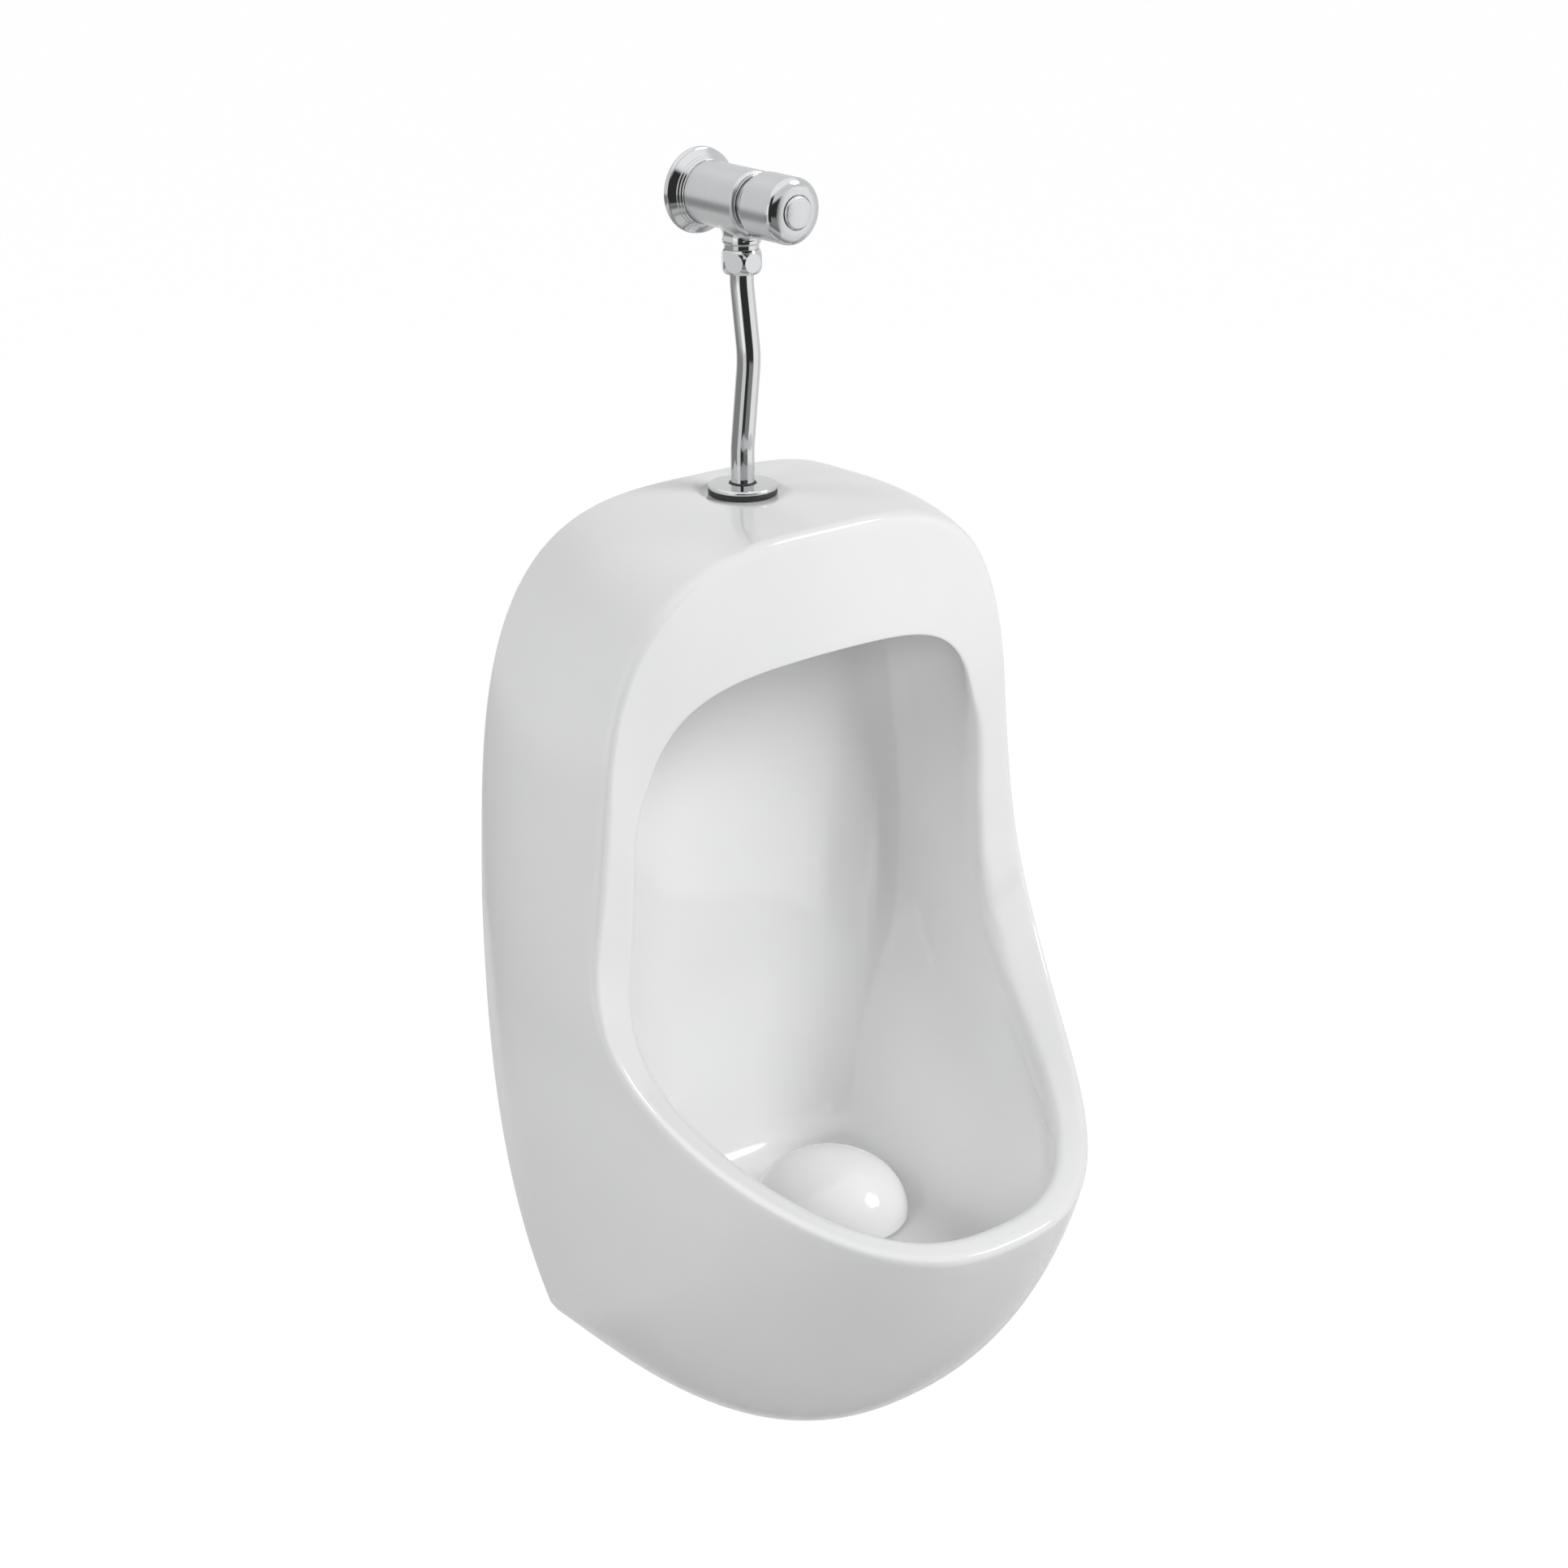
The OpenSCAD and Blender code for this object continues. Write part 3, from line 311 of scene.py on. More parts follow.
def shell_hull(t):
    """The four control points of the cubic from the wall to the crease: a third of the way
    along, pushed outwards by 13.4 mm at the sides, by nothing at the top and by much under the
    belly, where they also lie 0.45 and 0.23 of the way from their ends."""
    b, c, s = back_edge(t), crease(t), sine(t)
    top, belly = np.maximum(s, 0)[..., None] ** 6, np.maximum(-s, 0)[..., None] ** 3.14
    out = np.stack([cosine(t), 0 * s, s], -1)
    push = 13.4 - 14.4 * top
    flat = (c - b) * (1, 0, 1) / 3
    ahead = (c - b)[..., 1:2] * (0, 1, 0)
    near_wall = b + ahead * mix(1 / 3, 0.45, belly) + flat + out * (push + 58.4 * belly)
    near_rim = c - ahead * mix(1 / 3, 0.23, belly) - flat + out * (push + 105.4 * belly)
    return [b, near_wall, near_rim, c]


def shell(t, v):
    """A point of the outside: the cubic Bezier curve at v, from the wall (0) to the crease (1)."""
    a, b, c, d = shell_hull(t)
    v, w = v[..., None], 1 - v[..., None]
    return a * w ** 3 + 3 * b * v * w * w + 3 * c * v * v * w + d * v ** 3


def bowl_loop(t, half, reaches, heights, n, power):
    """A rounded rectangle loop inside the bowl, with its half width times |cos t|^(2/n); its
    reach and height change from top to bottom."""
    k = signed_power(sine(t), 2 / n)
    return np.stack([half * signed_power(cosine(t), 2 / n), -by_height(reaches, k, power),
                     by_height(heights, k)], -1)


def bowl_stops(t):
    """Eleven points a meridian: the mouth, three corners as start, corner and end, the drain.
    The corners' roundings are largest at the sides, smaller low down, and smallest along the
    middle of the ceiling. A rounding never takes more than 0.48 of the stretch beside it."""
    front_line = bowl_loop(t, rim_width / 2 - 23, (rim_reach - 0.7, 68, lip_reach - 24.6),
                           (ceiling_z, rim_top - 244.4, floor_z + 31), n=3.9, power=2.6)
    back_line = bowl_loop(t, rim_width / 2 - 42, (bowl_back, bowl_back + 18, lip_reach - 42.6),
                          (ceiling_z, rim_top - 262.4, floor_z + 4), n=3.6, power=2.4)
    floor_line = bowl_loop(t, 74, (bowl_back + 4, bowl_back + 24, drain_reach + 82),
                           (floor_z + 3, floor_z + 2, floor_z + 1), n=2.4, power=1.4)
    drain_line = np.stack([drain_flat * cosine(t), drain_flat * sine(t) - drain_reach,
                           floor_z + 0 * t], -1)
    corners = [mouth(t), front_line, back_line, floor_line, drain_line]
    s = sine(t)
    high, low = smooth((s - 0.35) / 0.45), smooth((-s - 0.35) / 0.45)
    middle = np.where(s < 0, 0, smooth((0.62 - np.abs(cosine(t)) ** 0.56) / 0.4))
    radii = (mix(mix(40, 16, middle), 30, low), mix(mix(60, 16, middle), 34, low),
             mix(mix(60, 70, high), 40, low))
    stops = [corners[0]]
    for i, radius in enumerate(radii, 1):
        back, on = corners[i - 1] - corners[i], corners[i + 1] - corners[i]
        room = 0.48 * np.minimum(np.linalg.norm(back, axis=-1), np.linalg.norm(on, axis=-1))
        cut = np.minimum(radius, room)[..., None]
        stops += [corners[i] + unit(back) * cut, corners[i], corners[i] + unit(on) * cut]
    return stops + [corners[4]]


def arc(a, b, c, f):
    """The quadratic Bezier curve from a to c with its corner at b."""
    return a * (1 - f) ** 2 + 2 * b * f * (1 - f) + c * f * f


def bowl(t, u):
    """A point of the bowl: u counts straight stretches and rounded corners in turn, from the
    mouth (0) to the drain (7)."""
    stops = bowl_stops(t)
    u = u[..., None]
    point = mix(stops[0], stops[1], np.clip(u, 0, 1))
    for i in range(1, 7):
        q, f = 3 * (i // 2), np.clip(u - i, 0, 1)
        here = (arc(stops[q + 1], stops[q + 2], stops[q + 3], f) if i % 2
                else mix(stops[q], stops[q + 1], f))
        point = np.where(u > i, here, point)
    return point


def offset(surface, t, w, low, high, depth):
    """The point a wall's thickness behind a surface, along its normal, which is worked out from
    points a hair away."""
    hair, turn_hair = 0.02, 0.4
    along = surface(t, np.minimum(w + hair, high)) - surface(t, np.maximum(w - hair, low))
    across = surface(t + turn_hair, w) - surface(t - turn_hair, w)
    return surface(t, w) - unit(np.cross(across, along)) * depth


def piece_from_grid(name, points, around=True, along=True, sharp=35, second=None):
    """A mesh from rows and columns of points (metres): each four neighbours make a face, the
    last row and column join the first, points that coincide are merged, faces point outwards.
    Columns from `second` on carry the piece's second material."""
    rows, cols = points.shape[:2]
    i = np.arange(rows if around else rows - 1)[:, None]
    j = np.arange(cols if along else cols - 1)[None]
    i2, j2 = (i + 1) % rows, (j + 1) % cols
    quads = np.stack([i * cols + j, i2 * cols + j, i2 * cols + j2, i * cols + j2], -1)
    quads = quads.reshape(-1, 4)
    flat = points.reshape(-1, 3).astype(np.float64)
    centred = flat - flat.mean(0)
    a, b, c, d = (centred[quads[:, n]] for n in range(4))
    volume = np.sum(np.cross(a, b) * c) + np.sum(np.cross(a, c) * d)
    if volume < 0:
        quads = quads[:, ::-1]
    mesh = bpy.data.meshes.new(name)
    mesh.vertices.add(len(flat))
    mesh.vertices.foreach_set("co", flat.astype(np.float32).ravel())
    mesh.loops.add(quads.size)
    mesh.loops.foreach_set("vertex_index", quads.astype(np.int32).ravel())
    mesh.polygons.add(len(quads))
    mesh.polygons.foreach_set("loop_start", np.arange(0, quads.size, 4, dtype=np.int32))
    if second:
        is_second = ((j >= second) + 0 * i).astype(np.int32)
        mesh.polygons.foreach_set("material_index", is_second.ravel())
    mesh.update(calc_edges=True)
    edit = bmesh.new()
    edit.from_mesh(mesh)
    bmesh.ops.remove_doubles(edit, verts=edit.verts, dist=2e-6)
    edit.to_mesh(mesh)
    edit.free()
    mesh.polygons.foreach_set("use_smooth", np.ones(len(mesh.polygons), bool))
    mesh.set_sharp_from_angle(angle=math.radians(sharp))
    piece = bpy.data.objects.new(name, mesh)
    bpy.context.scene.collection.objects.link(piece)
    return piece


def finish(piece, body, slot, material, *replaced):
    """Gives a piece its material and its body, and hides the CAD nodes that it stands for. The
    slot is not used.
    """
    piece.data.materials.append(material)
    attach(piece, body)
    if replaced:
        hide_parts(*replaced)


def new_material(name, **constants):
    """A Principled material with its constant sockets set; returns it, a wire of its Object
    coordinates, and the shader node."""
    material = bpy.data.materials.new(name)
    material.use_nodes = True
    shader = material.node_tree.nodes["Principled BSDF"]
    for socket, value in constants.items():
        shader.inputs[socket.replace("_", " ")].default_value = value
    place = Wire(material.node_tree).node("ShaderNodeTexCoord", out="Object")
    return material, place, shader


def feed(shader, **wires):
    """Links wires to the shader's sockets."""
    for socket, wire in wires.items():
        shader.id_data.links.new(wire.socket, shader.inputs[socket.replace("_", " ")])


def noise(place, scale, detail=2.0):
    """Soft noise about 0.5."""
    return place.node("ShaderNodeTexNoise", inputs={"Vector": place, "Scale": scale,
                                                    "Detail": detail})


def tint(amount, dark, light):
    """The colour between dark and light at amount."""
    return amount.node("ShaderNodeMix", {"data_type": "RGBA"},
                       {"Factor": amount, "A": (*dark, 1), "B": (*light, 1)}, out="Result")


def relief(height, depth, strength):
    """A Bump node for a height between 0 and 1 that is depth metres deep."""
    return height.node("ShaderNodeBump", inputs={"Strength": strength, "Distance": depth,
                                                 "Height": height})


glaze, place, shader = new_material("white_glaze", IOR=1.52)
cloud = noise(place, 9).rise(0.3, 0.7)
feed(shader, Base_Color=tint(cloud, (0.79, 0.795, 0.795), (0.815, 0.817, 0.813)),
     Roughness=noise(place, 30) * 0.04 + 0.025,
     Normal=relief(noise(place, 46, 1), depth=0.0006, strength=0.1))

bisque, place, shader = new_material("unglazed_china", IOR=1.5)
grain = noise(place, 900, 3)
feed(shader, Base_Color=tint(noise(place, 14, 4), (0.74, 0.72, 0.68), (0.83, 0.815, 0.785)),
     Roughness=grain * 0.2 + 0.6, Normal=relief(grain, depth=0.0003, strength=0.35))

# The meridians stand closer together where t is a quarter turn and the loops run fastest
meridians, crowding, mouth_round, rim_round = 336, 1.4, 12.0, 6.5
angle = np.arange(meridians) * 2 * math.pi / meridians - math.pi / 2
t = np.degrees(np.arctan2(signed_power(np.sin(angle), crowding),
                          signed_power(clean_cos(angle), crowding)))
t = np.where(t < -90, t + 360, t)[:, None]


def spread(low, high, count):
    """Even values from low to high, the same on each meridian."""
    return np.linspace(low, high, count)[None] + 0 * t


def shares(count):
    """Even shares from 0 to just short of 1, for a stretch that the next one goes on from."""
    return np.linspace(0, 1, count, endpoint=False)[None, :, None]


def drain_ring(radius, height):
    """A ring about the drain's axis, at a height over the bowl's floor."""
    return np.stack([radius * cosine(t), radius * sine(t) - drain_reach,
                     floor_z + height + 0 * t], -1)


def blur_around(points, width):
    """Blurs rings of points along the meridians' order with a bell curve that is width
    meridians wide, as the bell's own Fourier series."""
    wave = np.arange(meridians // 2 + 1)[:, None, None] * 2 * math.pi / meridians
    waves = np.fft.rfft(points, axis=0) * np.exp(-(wave * width) ** 2 / 2)
    return np.fft.irfft(waves, meridians, axis=0)


def blur_along(points, width):
    """Blurs each meridian's points with a bell curve that is width points wide."""
    number = np.arange(points.shape[1])
    bell = np.exp(-((number[:, None] - number) / width) ** 2 / 2)
    return np.einsum("jk,ikc->ijc", bell / bell.sum(1, keepdims=True), points)


# The two edge lines of the rim and the points where their roundings start and end
outline, edge, stops = crease(t), mouth(t), bowl_stops(t)
to_mouth, into_bowl = unit(edge - outline), stops[1] - edge
edge_in = edge + unit(into_bowl) * np.minimum(
    mouth_round, np.linalg.norm(into_bowl, axis=-1, keepdims=True))
edge_out, outline_in = edge - to_mouth * mouth_round, outline + to_mouth * rim_round
shell_slope = 3 * np.linalg.norm(outline - shell_hull(t)[2], axis=-1)
v_end, v_start = 1 - rim_round / shell_slope, 0.025
outline_out = shell(t, v_end)



def under_ceiling(points, depth):
    """0 down to a depth under the bowl's ceiling, and 1 from 60 mm further down."""
    return smooth((ceiling_z - depth - points[..., 2]) / 60)


# The bowl's corners melt into one another, first round it and then from the drain up to the
# mouth, but not by the ceiling, the drain or the mouth's edge
u = spread(7, 1, 92)
off_drain = smooth((6.6 - u) / 1.2)
basin = bowl(t, u)
share = smooth((u - 1) / 1.4) * off_drain * under_ceiling(basin, 12)
basin = mix(basin, blur_around(basin, 6), share[..., None])
inside = np.concatenate([basin, mix(stops[1], edge_in, shares(9))[:, 1:]], 1)
share = np.concatenate([off_drain, 1 - spread(0, 1, 9)[:, 1:]], 1) * under_ceiling(inside, 30)
inside = mix(inside, blur_along(inside, 5), share[..., None])

# The glazed outside, from the drain up the bowl, over the rim and back to the wall
foot_round = 2.5
seam = back_edge(t)
tangent = back_edge(t + 0.4) - back_edge(t - 0.4)
outward = unit(np.stack([tangent[..., 2], 0 * tangent[..., 0], -tangent[..., 0]], -1))
seam_in = seam - outward * foot_round
glazed = np.concatenate([
    inside, arc(edge_in, edge, edge_out, shares(10)),
    mix(edge_out, outline_in, shares(7)), arc(outline_in, outline, outline_out, shares(13)),
    shell(t, mix(v_end, v_start, shares(46)[..., 0])),
    arc(shell(t, v_start + 0 * t), seam, seam_in, shares(7))], 1)

# The bare inside, from the wall to the top of the bowl, down its back and through the drain:
# a boss, the hole and the sunk seat for the waste flange. It leaves the outside early at the
# top, where the bowl's ceiling is the wall of the body too
top, low = smooth((sine(t) - 0.35) / 0.45), smooth((-sine(t) - 0.35) / 0.45)
shell_end = 0.8 - 0.66 * top - 0.06 * low
u = mix(0.5 + 3.5 * top + 3.2 * low, 7, np.linspace(0, 1, 36)[None])
behind_bowl = (wall + 5 * smooth(u - 6))[..., None]
drain_seat = [(38.5, -13.7), (38.5, -13.5), (24.5, -13.5), (24.5, -5.5), (35.5, -5.5),
              (35.5, -0.3), (35.8, 0)]
bare = np.concatenate([
    mix(seam_in, seam - outward * wall, shares(3)), seam - outward * wall,
    offset(shell, t, shell_end * np.linspace(0.04, 1, 22)[None], 0, 1, wall),
    offset(bowl, t, u, 0, 7, behind_bowl),
    *[drain_ring(radius, height) for radius, height in drain_seat]], 1)

# The glaze is ground flat where the inlet's rubber washer sits
pipe_reach, flat_half, flat_blend = 40.0, 21.8, 7
from_spud = np.hypot(glazed[..., 0], glazed[..., 1] + pipe_reach)
on_top = glazed[..., 2] > ceiling_z + 3
kept_height = np.where(on_top, smooth((from_spud - flat_half) / flat_blend), 1)
glazed[..., 2] = mix(seat_z - 0.15, glazed[..., 2], kept_height)
body = piece_from_grid("urinal_body", np.concatenate([glazed, bare], 1) * MM, sharp=38,
                       second=glazed.shape[1])
finish(body, "urinal", "glazed_ceramic", glaze, "ceramic_body")
body.data.materials.append(bisque)


# Crossbar. The part of the casting that hangs in the two hooks: a bar of unglazed china across
# the open back, with a pocket for each hook.
bar_low, bar_high, bar_front, bar_back, pocket_back = 38.0, 54.0, -18.0, -3.9, -9.0
low_half, high_half, hook_gap, pocket_half = 140.0, 131.3, 190.0, 24.0
stations = [(-1, 0, bar_front)]
for hook in (-hook_gap / 2, hook_gap / 2):
    stations += [(0, hook - pocket_half, bar_front), (0, hook - pocket_half, pocket_back),
                 (0, hook + pocket_half, pocket_back), (0, hook + pocket_half, bar_front)]
stations += [(1, 0, bar_front)]
rings = [[(end * low_half + x, front, bar_low), (end * low_half + x, bar_back, bar_low),
          (end * high_half + x, bar_back, bar_high), (end * high_half + x, front, bar_high)]
         for end, x, front in stations]
rings = [[tuple(np.mean(rings[0], 0))] * 4, *rings, [tuple(np.mean(rings[-1], 0))] * 4]
crossbar = piece_from_grid("crossbar", np.array(rings) * MM, around=False, sharp=30)
finish(crossbar, "urinal", "glazed_ceramic", bisque)

# Hangers. Two pressed steel hooks with a bright zinc plate, each bolted to the wall by two
# bolts. The crossbar hangs in them.
zinc, place, shader = new_material("zinc_plate", Metallic=1.0)
spangle = noise(place, 160, 4)
feed(shader, Base_Color=tint(spangle, (0.5, 0.51, 0.5), (0.66, 0.67, 0.68)),
     Roughness=noise(place, 60) * 0.2 + 0.3, Normal=relief(spangle, depth=0.0002, strength=0.3))


def coat(material, *names):
    """Gives CAD nodes a material of this scene."""
    for name in names:
        slots = cad[name].material_slots
        for slot in slots:
            slot.material = material
        if not slots:
            cad[name].data.materials.append(material)


coat(zinc, "wall_hangers")


# Wall dish. A spun and polished chrome plate that slips over the inlet nipple and covers the
# hole in the wall, with a cone that goes up to the barrel in steps.
def rounded(corners, closed=True, steps=6, broken=0.12):
    """Rounds the corners (radius, distance, rounding) of an outline, by `broken` mm where none
    is given: a quarter-like arc with a point a hair before and after it, so that flat stretches
    stay flat under smooth shading. A rounding takes at most 0.45 of the stretch beside it."""
    points = []
    count = len(corners)
    for i, corner in enumerate(corners):
        here = np.array(corner[:2], float)
        size = corner[2] if len(corner) > 2 else broken
        if not closed and i in (0, count - 1):
            points.append(here)
            continue
        before = np.array(corners[i - 1][:2], float) - here
        after = np.array(corners[(i + 1) % count][:2], float) - here
        room = min(np.linalg.norm(before), np.linalg.norm(after))
        size = min(size, 0.45 * room)
        hair = min(0.03, 0.02 * room)
        b, a = unit(before), unit(after)
        points.append(here + b * (size + hair))
        points += [arc(here + b * size, here, here + a * size, f)
                   for f in np.linspace(0, 1, steps + 1)]
        points.append(here + a * (size + hair))
    return np.array(points)


def lathe(name, corners, put, closed=True, sides=160, steps=6):
    """A turned piece: its rounded outline of radius r and distance s (mm) is carried round the
    axis as (r cos a, r sin a, s), and put() sets the result where it belongs."""
    line = rounded(corners, closed, steps)
    a = np.linspace(0, 2 * math.pi, sides, endpoint=False)[:, None]
    r, s = line[None, :, 0], line[None, :, 1] + 0 * a
    return piece_from_grid(name, put(np.stack([r * np.cos(a), r * np.sin(a), s], -1)) * MM,
                           along=closed)


valve_h = 268.0


def on_valve(p):
    """From a turning axis to the valve's: distance from the wall runs along -Y."""
    return np.stack([p[..., 0], -p[..., 2], p[..., 1] + valve_h], -1)


def chrome(name, roughness, smear, polish=None):
    """Chrome plate: a faint haze of water marks changes how sharply it mirrors. polish() says
    how much less rough it is at a place."""
    light, marks = (0.635, 0.64, 0.648), 0.95
    material, place, shader = new_material(name, Metallic=1.0)
    haze = noise(place, 55, 3)
    rough = haze * smear + roughness
    if polish:
        rough = rough - polish(place)
    feed(shader, Base_Color=tint(haze, tuple(marks * c for c in light), light), Roughness=rough,
         Normal=relief(noise(place, 120), depth=0.0002, strength=0.015))
    return material


polished = chrome("polished_chrome", 0.05, smear=0.04)
socket = [(11.1, 3.6), (11.1, 8.3), (18.56, 8.3), (18.56, 10.6)]
steps_out = [(18.9, 10.6, 0.15), (18.9, 9.6, 0.1), (19.7, 8.9, 0.1), (19.7, 8.0, 0.1),
             (20.6, 7.2, 0.1), (20.6, 6.4, 0.1), (24.0, 3.2, 0.4)]
plate_edge = [(24.5, 3.0, 0.2), (25, 1.4, 0.8), (25, 0.1, 0.3), (23.6, 0.1)]
hollow_back = [(22.8, 1.9), (18.5, 3.4)]
dish = lathe("wall_dish", socket + steps_out + plate_edge + hollow_back, on_valve)
finish(dish, "urinal", "chrome", polished, "wall_escutcheon")

# Valve body. A chromed brass barrel that lies along its axis, with a round boss below it that
# flares into the barrel and carries a collar above the union nut. It is cast and turned.
barrel_half = 18.5
satin = chrome("satin_chrome", 0.25, smear=0.06)
barrel = lathe("valve_barrel", [
    (0, 8.6), (17.9, 8.6, 0.5), (barrel_half, 9.4, 0.5), (barrel_half, 52.6, 0.6),
    (17.3, 54, 0.5), (0, 54)], on_valve, closed=False, sides=240)
finish(barrel, "urinal", "chrome", satin, "valve_body")


def boss_point(a, line):
    """The boss: profile points below the flare hang from their own height; the flare's run
    up the barrel, whose underside at x = r cos a lies sqrt(18.5^2 - x^2) below the axis."""
    r = line[:, 0]
    x = r * np.cos(a)
    under = valve_h - np.sqrt(barrel_half ** 2 - np.minimum(np.abs(x), 18) ** 2)
    z = np.where(line[:, 2] > 0, under + line[:, 1], line[:, 1] + 0 * a)
    return np.stack([x, r * np.sin(a) - pipe_reach, z], -1)


outlet_end = 235.9
flare = arc(np.array([14.2, 0.25]), np.array([11.0, -0.4]), np.array([10.9, -3.4]),
            np.linspace(0, 1, 9)[:, None])
stem = rounded([(10.9, 246.6), (11.2, 245.8, 0.3), (11.2, 244.0, 0.4), (10.2, 243.4, 0.3),
                (10.2, 240.5, 0.4), (8.5, 240.5), (8.5, outlet_end), (7.1, outlet_end)],
               closed=False)
# Radius, height, and whether the height counts from the barrel's underside
line = np.array([(14.2, 3.0, 1), *[(*p, 1) for p in flare], *[(*p, 0) for p in stem],
                 (0, outlet_end, 0)])
round_boss = np.linspace(0, 2 * math.pi, 160, endpoint=False)[:, None]
boss = piece_from_grid("outlet_boss", boss_point(round_boss, line) * MM, along=False)
finish(boss, "urinal", "chrome", polished)

# Neck. The chromed gland nut that screws into the barrel and carries the knob: it shows as two
# bright beads and a dark gap.
bead, groove, inner_end = 16.4, 14.2, 70.6
neck = lathe("grooved_neck", [
    (2.6, 50), (4.7, 50), (4.7, 47), (12.9, 47), (12.9, 54.05), (16.7, 54.05, 0.3),
    (16.7, 54.9, 0.4), (groove, 55.2, 0.3), (groove, 57.0, 0.3), (bead, 57.3, 0.4),
    (bead, 58.3, 0.4), (groove, 58.6, 0.3), (groove, 60.5, 0.3), (6, 60.5),
    (6, inner_end), (2.6, inner_end)], on_valve)
finish(neck, "urinal", "chrome", polished, "bonnet")

# Push knob. A turned chrome cap with an evenly rounded front; its middle is a separate button
# cap in a narrow groove, and all of it slides over the neck.
knob_half, front_flat, chamfer_start, chamfer_deep = 19, 6, 84.9, 5.6
crown = [(front_flat + (knob_half - front_flat) * math.sin(f),
          chamfer_start + chamfer_deep * math.cos(f), 0.4)
         for f in np.linspace(math.pi / 2, 0.33, 14)]
hollow = [(2.6, 77.7), (5.5, 77.7), (5.5, 81.6), (16.9, 81.6), (16.9, 61.2)]
skirt = [(18.2, 61.1, 0.2), (18.9, 61.8, 0.5), (knob_half, 64.4, 0.3)]
button_groove = [(9.95, 90.3, 0.15), (9.8, 88.6, 0.1), (5, 88.6), (5, 85.2), (2.6, 85.2)]
knob = lathe("push_knob_shell", hollow + skirt + crown + button_groove, on_valve, sides=240)


def polished_front(place):
    """0.21 on the rounded front of the knob and 0 on its sides and next to the button: where
    -y passes 85 mm and the distance sqrt(x^2 + height^2) from the axis passes 14 mm."""
    x, y, z = place.split()
    ahead, height = 0 - y, z - valve_h * MM
    from_axis = place.math("SQRT", x * x + height * height)
    return ahead.rise(0.0848, 0.0852) * from_axis.rise(0.0138, 0.0148) * 0.21


knob_chrome = chrome("knob_chrome", 0.25, smear=0.06, polish=polished_front)
finish(knob, "flush_knob", "chrome", knob_chrome, "push_knob")
dome_top, dome_half, dome_deep = 93.1, 8.6, 1.1
dome = [(r, dome_top - dome_deep * (r / dome_half) ** 2, 0.2)
        for r in np.linspace(dome_half, 0.6, 12)]
button = lathe("button_front", [(0, 87.8), (9.35, 87.8), (9.5, 90.9, 0.5), *dome, (0, dome_top)],
               on_valve, closed=False, sides=240)
finish(button, "flush_knob", "satin_chrome", satin, "button_cap")

# Union nut. A chromed brass nut that clamps the pipe to the valve: a ball cut by a hexagon, so
# that its six flats are round. At an angle a from a flat's middle its radius is the less of
# sqrt(ball^2 - z^2) and flat / cos a.
nut_h, nut_top, ball, flat, nut_turn = 13.9, 240.4, 12.4, 11.1, math.radians(-2)
bore, seat_bore, seat_deep = 7.3, 8.6, 2.6
widest = math.acos(flat / ball)
one_flat = np.concatenate([np.linspace(-math.pi / 6, -widest, 5, endpoint=False),
                           widest * np.sin(np.linspace(-math.pi / 2, math.pi / 2, 33)),
                           np.linspace(widest, math.pi / 6, 5)[1:-1]])
round_nut = (one_flat[None] + np.arange(6)[:, None] * math.pi / 3).ravel()[:, None]
hexagon = flat / np.cos(np.tile(one_flat, 6))[:, None]
disc = np.sqrt(np.maximum(ball ** 2 - hexagon ** 2, 0))
half = nut_h / 2
z = np.concatenate([mix(-half, -disc, np.linspace(0, 1, 9)[None, :-1]),
                    mix(-disc, disc, np.linspace(0, 1, 13)[None]),
                    mix(disc, half, np.linspace(0, 1, 9)[None, 1:])], 1)
r = np.minimum(np.sqrt(ball ** 2 - z ** 2), hexagon)
hole = np.array([(seat_bore, half), (seat_bore, seat_deep - half), (bore, seat_deep - half),
                 (bore, -half)]) + 0 * round_nut[..., None]
r, z = np.concatenate([r, hole[..., 0]], 1), np.concatenate([z, hole[..., 1]], 1)
round_nut = round_nut + nut_turn + math.pi / 6
nut = piece_from_grid("union_nut_ball", np.stack(
    [r * np.cos(round_nut), r * np.sin(round_nut) - pipe_reach, z + nut_top - half], -1) * MM,
    sharp=16)
finish(nut, "urinal", "chrome", polished, "union_nut")

# Flush pipe. A thin chromed tube, bent by hand in two places so that it bows forward a little.
# It hangs from the union nut and pushes into the spud.
pipe_half, pipe_bore, bend_radius = 7.0, 6.0, 60
route = np.array([(pipe_reach, 239.4), (pipe_reach, 220.5), (46.5, 178.1), (pipe_reach, 123.8),
                  (pipe_reach, 79.8)])


def bent_line(corners, radius, steps):
    """Points along straight stretches whose corners are arcs of one radius."""
    line = [corners[0]]
    for before, here, after in zip(corners, corners[1:], corners[2:]):
        b, a = unit(before - here), unit(after - here)
        half_angle = math.acos(np.clip(-b @ a, -1, 1)) / 2
        cut = radius * math.tan(half_angle)
        centre = here + unit(b + a) * radius / math.cos(half_angle)
        first = here + b * cut - centre
        bend = np.sign(np.cross(-b, a)) * 2 * half_angle
        for f in np.linspace(0, bend, steps):
            c, s = math.cos(f), math.sin(f)
            line.append(centre + (c * first[0] - s * first[1], s * first[0] + c * first[1]))
    return np.array([*line, corners[-1]])


def tube(name, line, outer, inner, sides=72):
    """A tube along a line of (reach, height) in the plane X = 0: its wall is a closed ring of
    points, out along the outside and back along the inside, at radius cos a beside the line
    and radius sin a along its normal."""
    along = unit(np.gradient(line, axis=0))
    normal = np.stack([-along[:, 1], along[:, 0]], -1)
    centre = np.concatenate([line, line[::-1]])
    normal = np.concatenate([normal, normal[::-1]])
    radius = np.repeat([outer, inner], len(line))[None, :, None]
    a = np.linspace(0, 2 * math.pi, sides, endpoint=False)[:, None, None]
    flat = centre[None] + radius * np.sin(a) * normal[None]
    x = radius[..., 0] * np.cos(a[..., 0])
    return piece_from_grid(name, np.stack([x, -flat[..., 0], flat[..., 1]], -1) * MM)


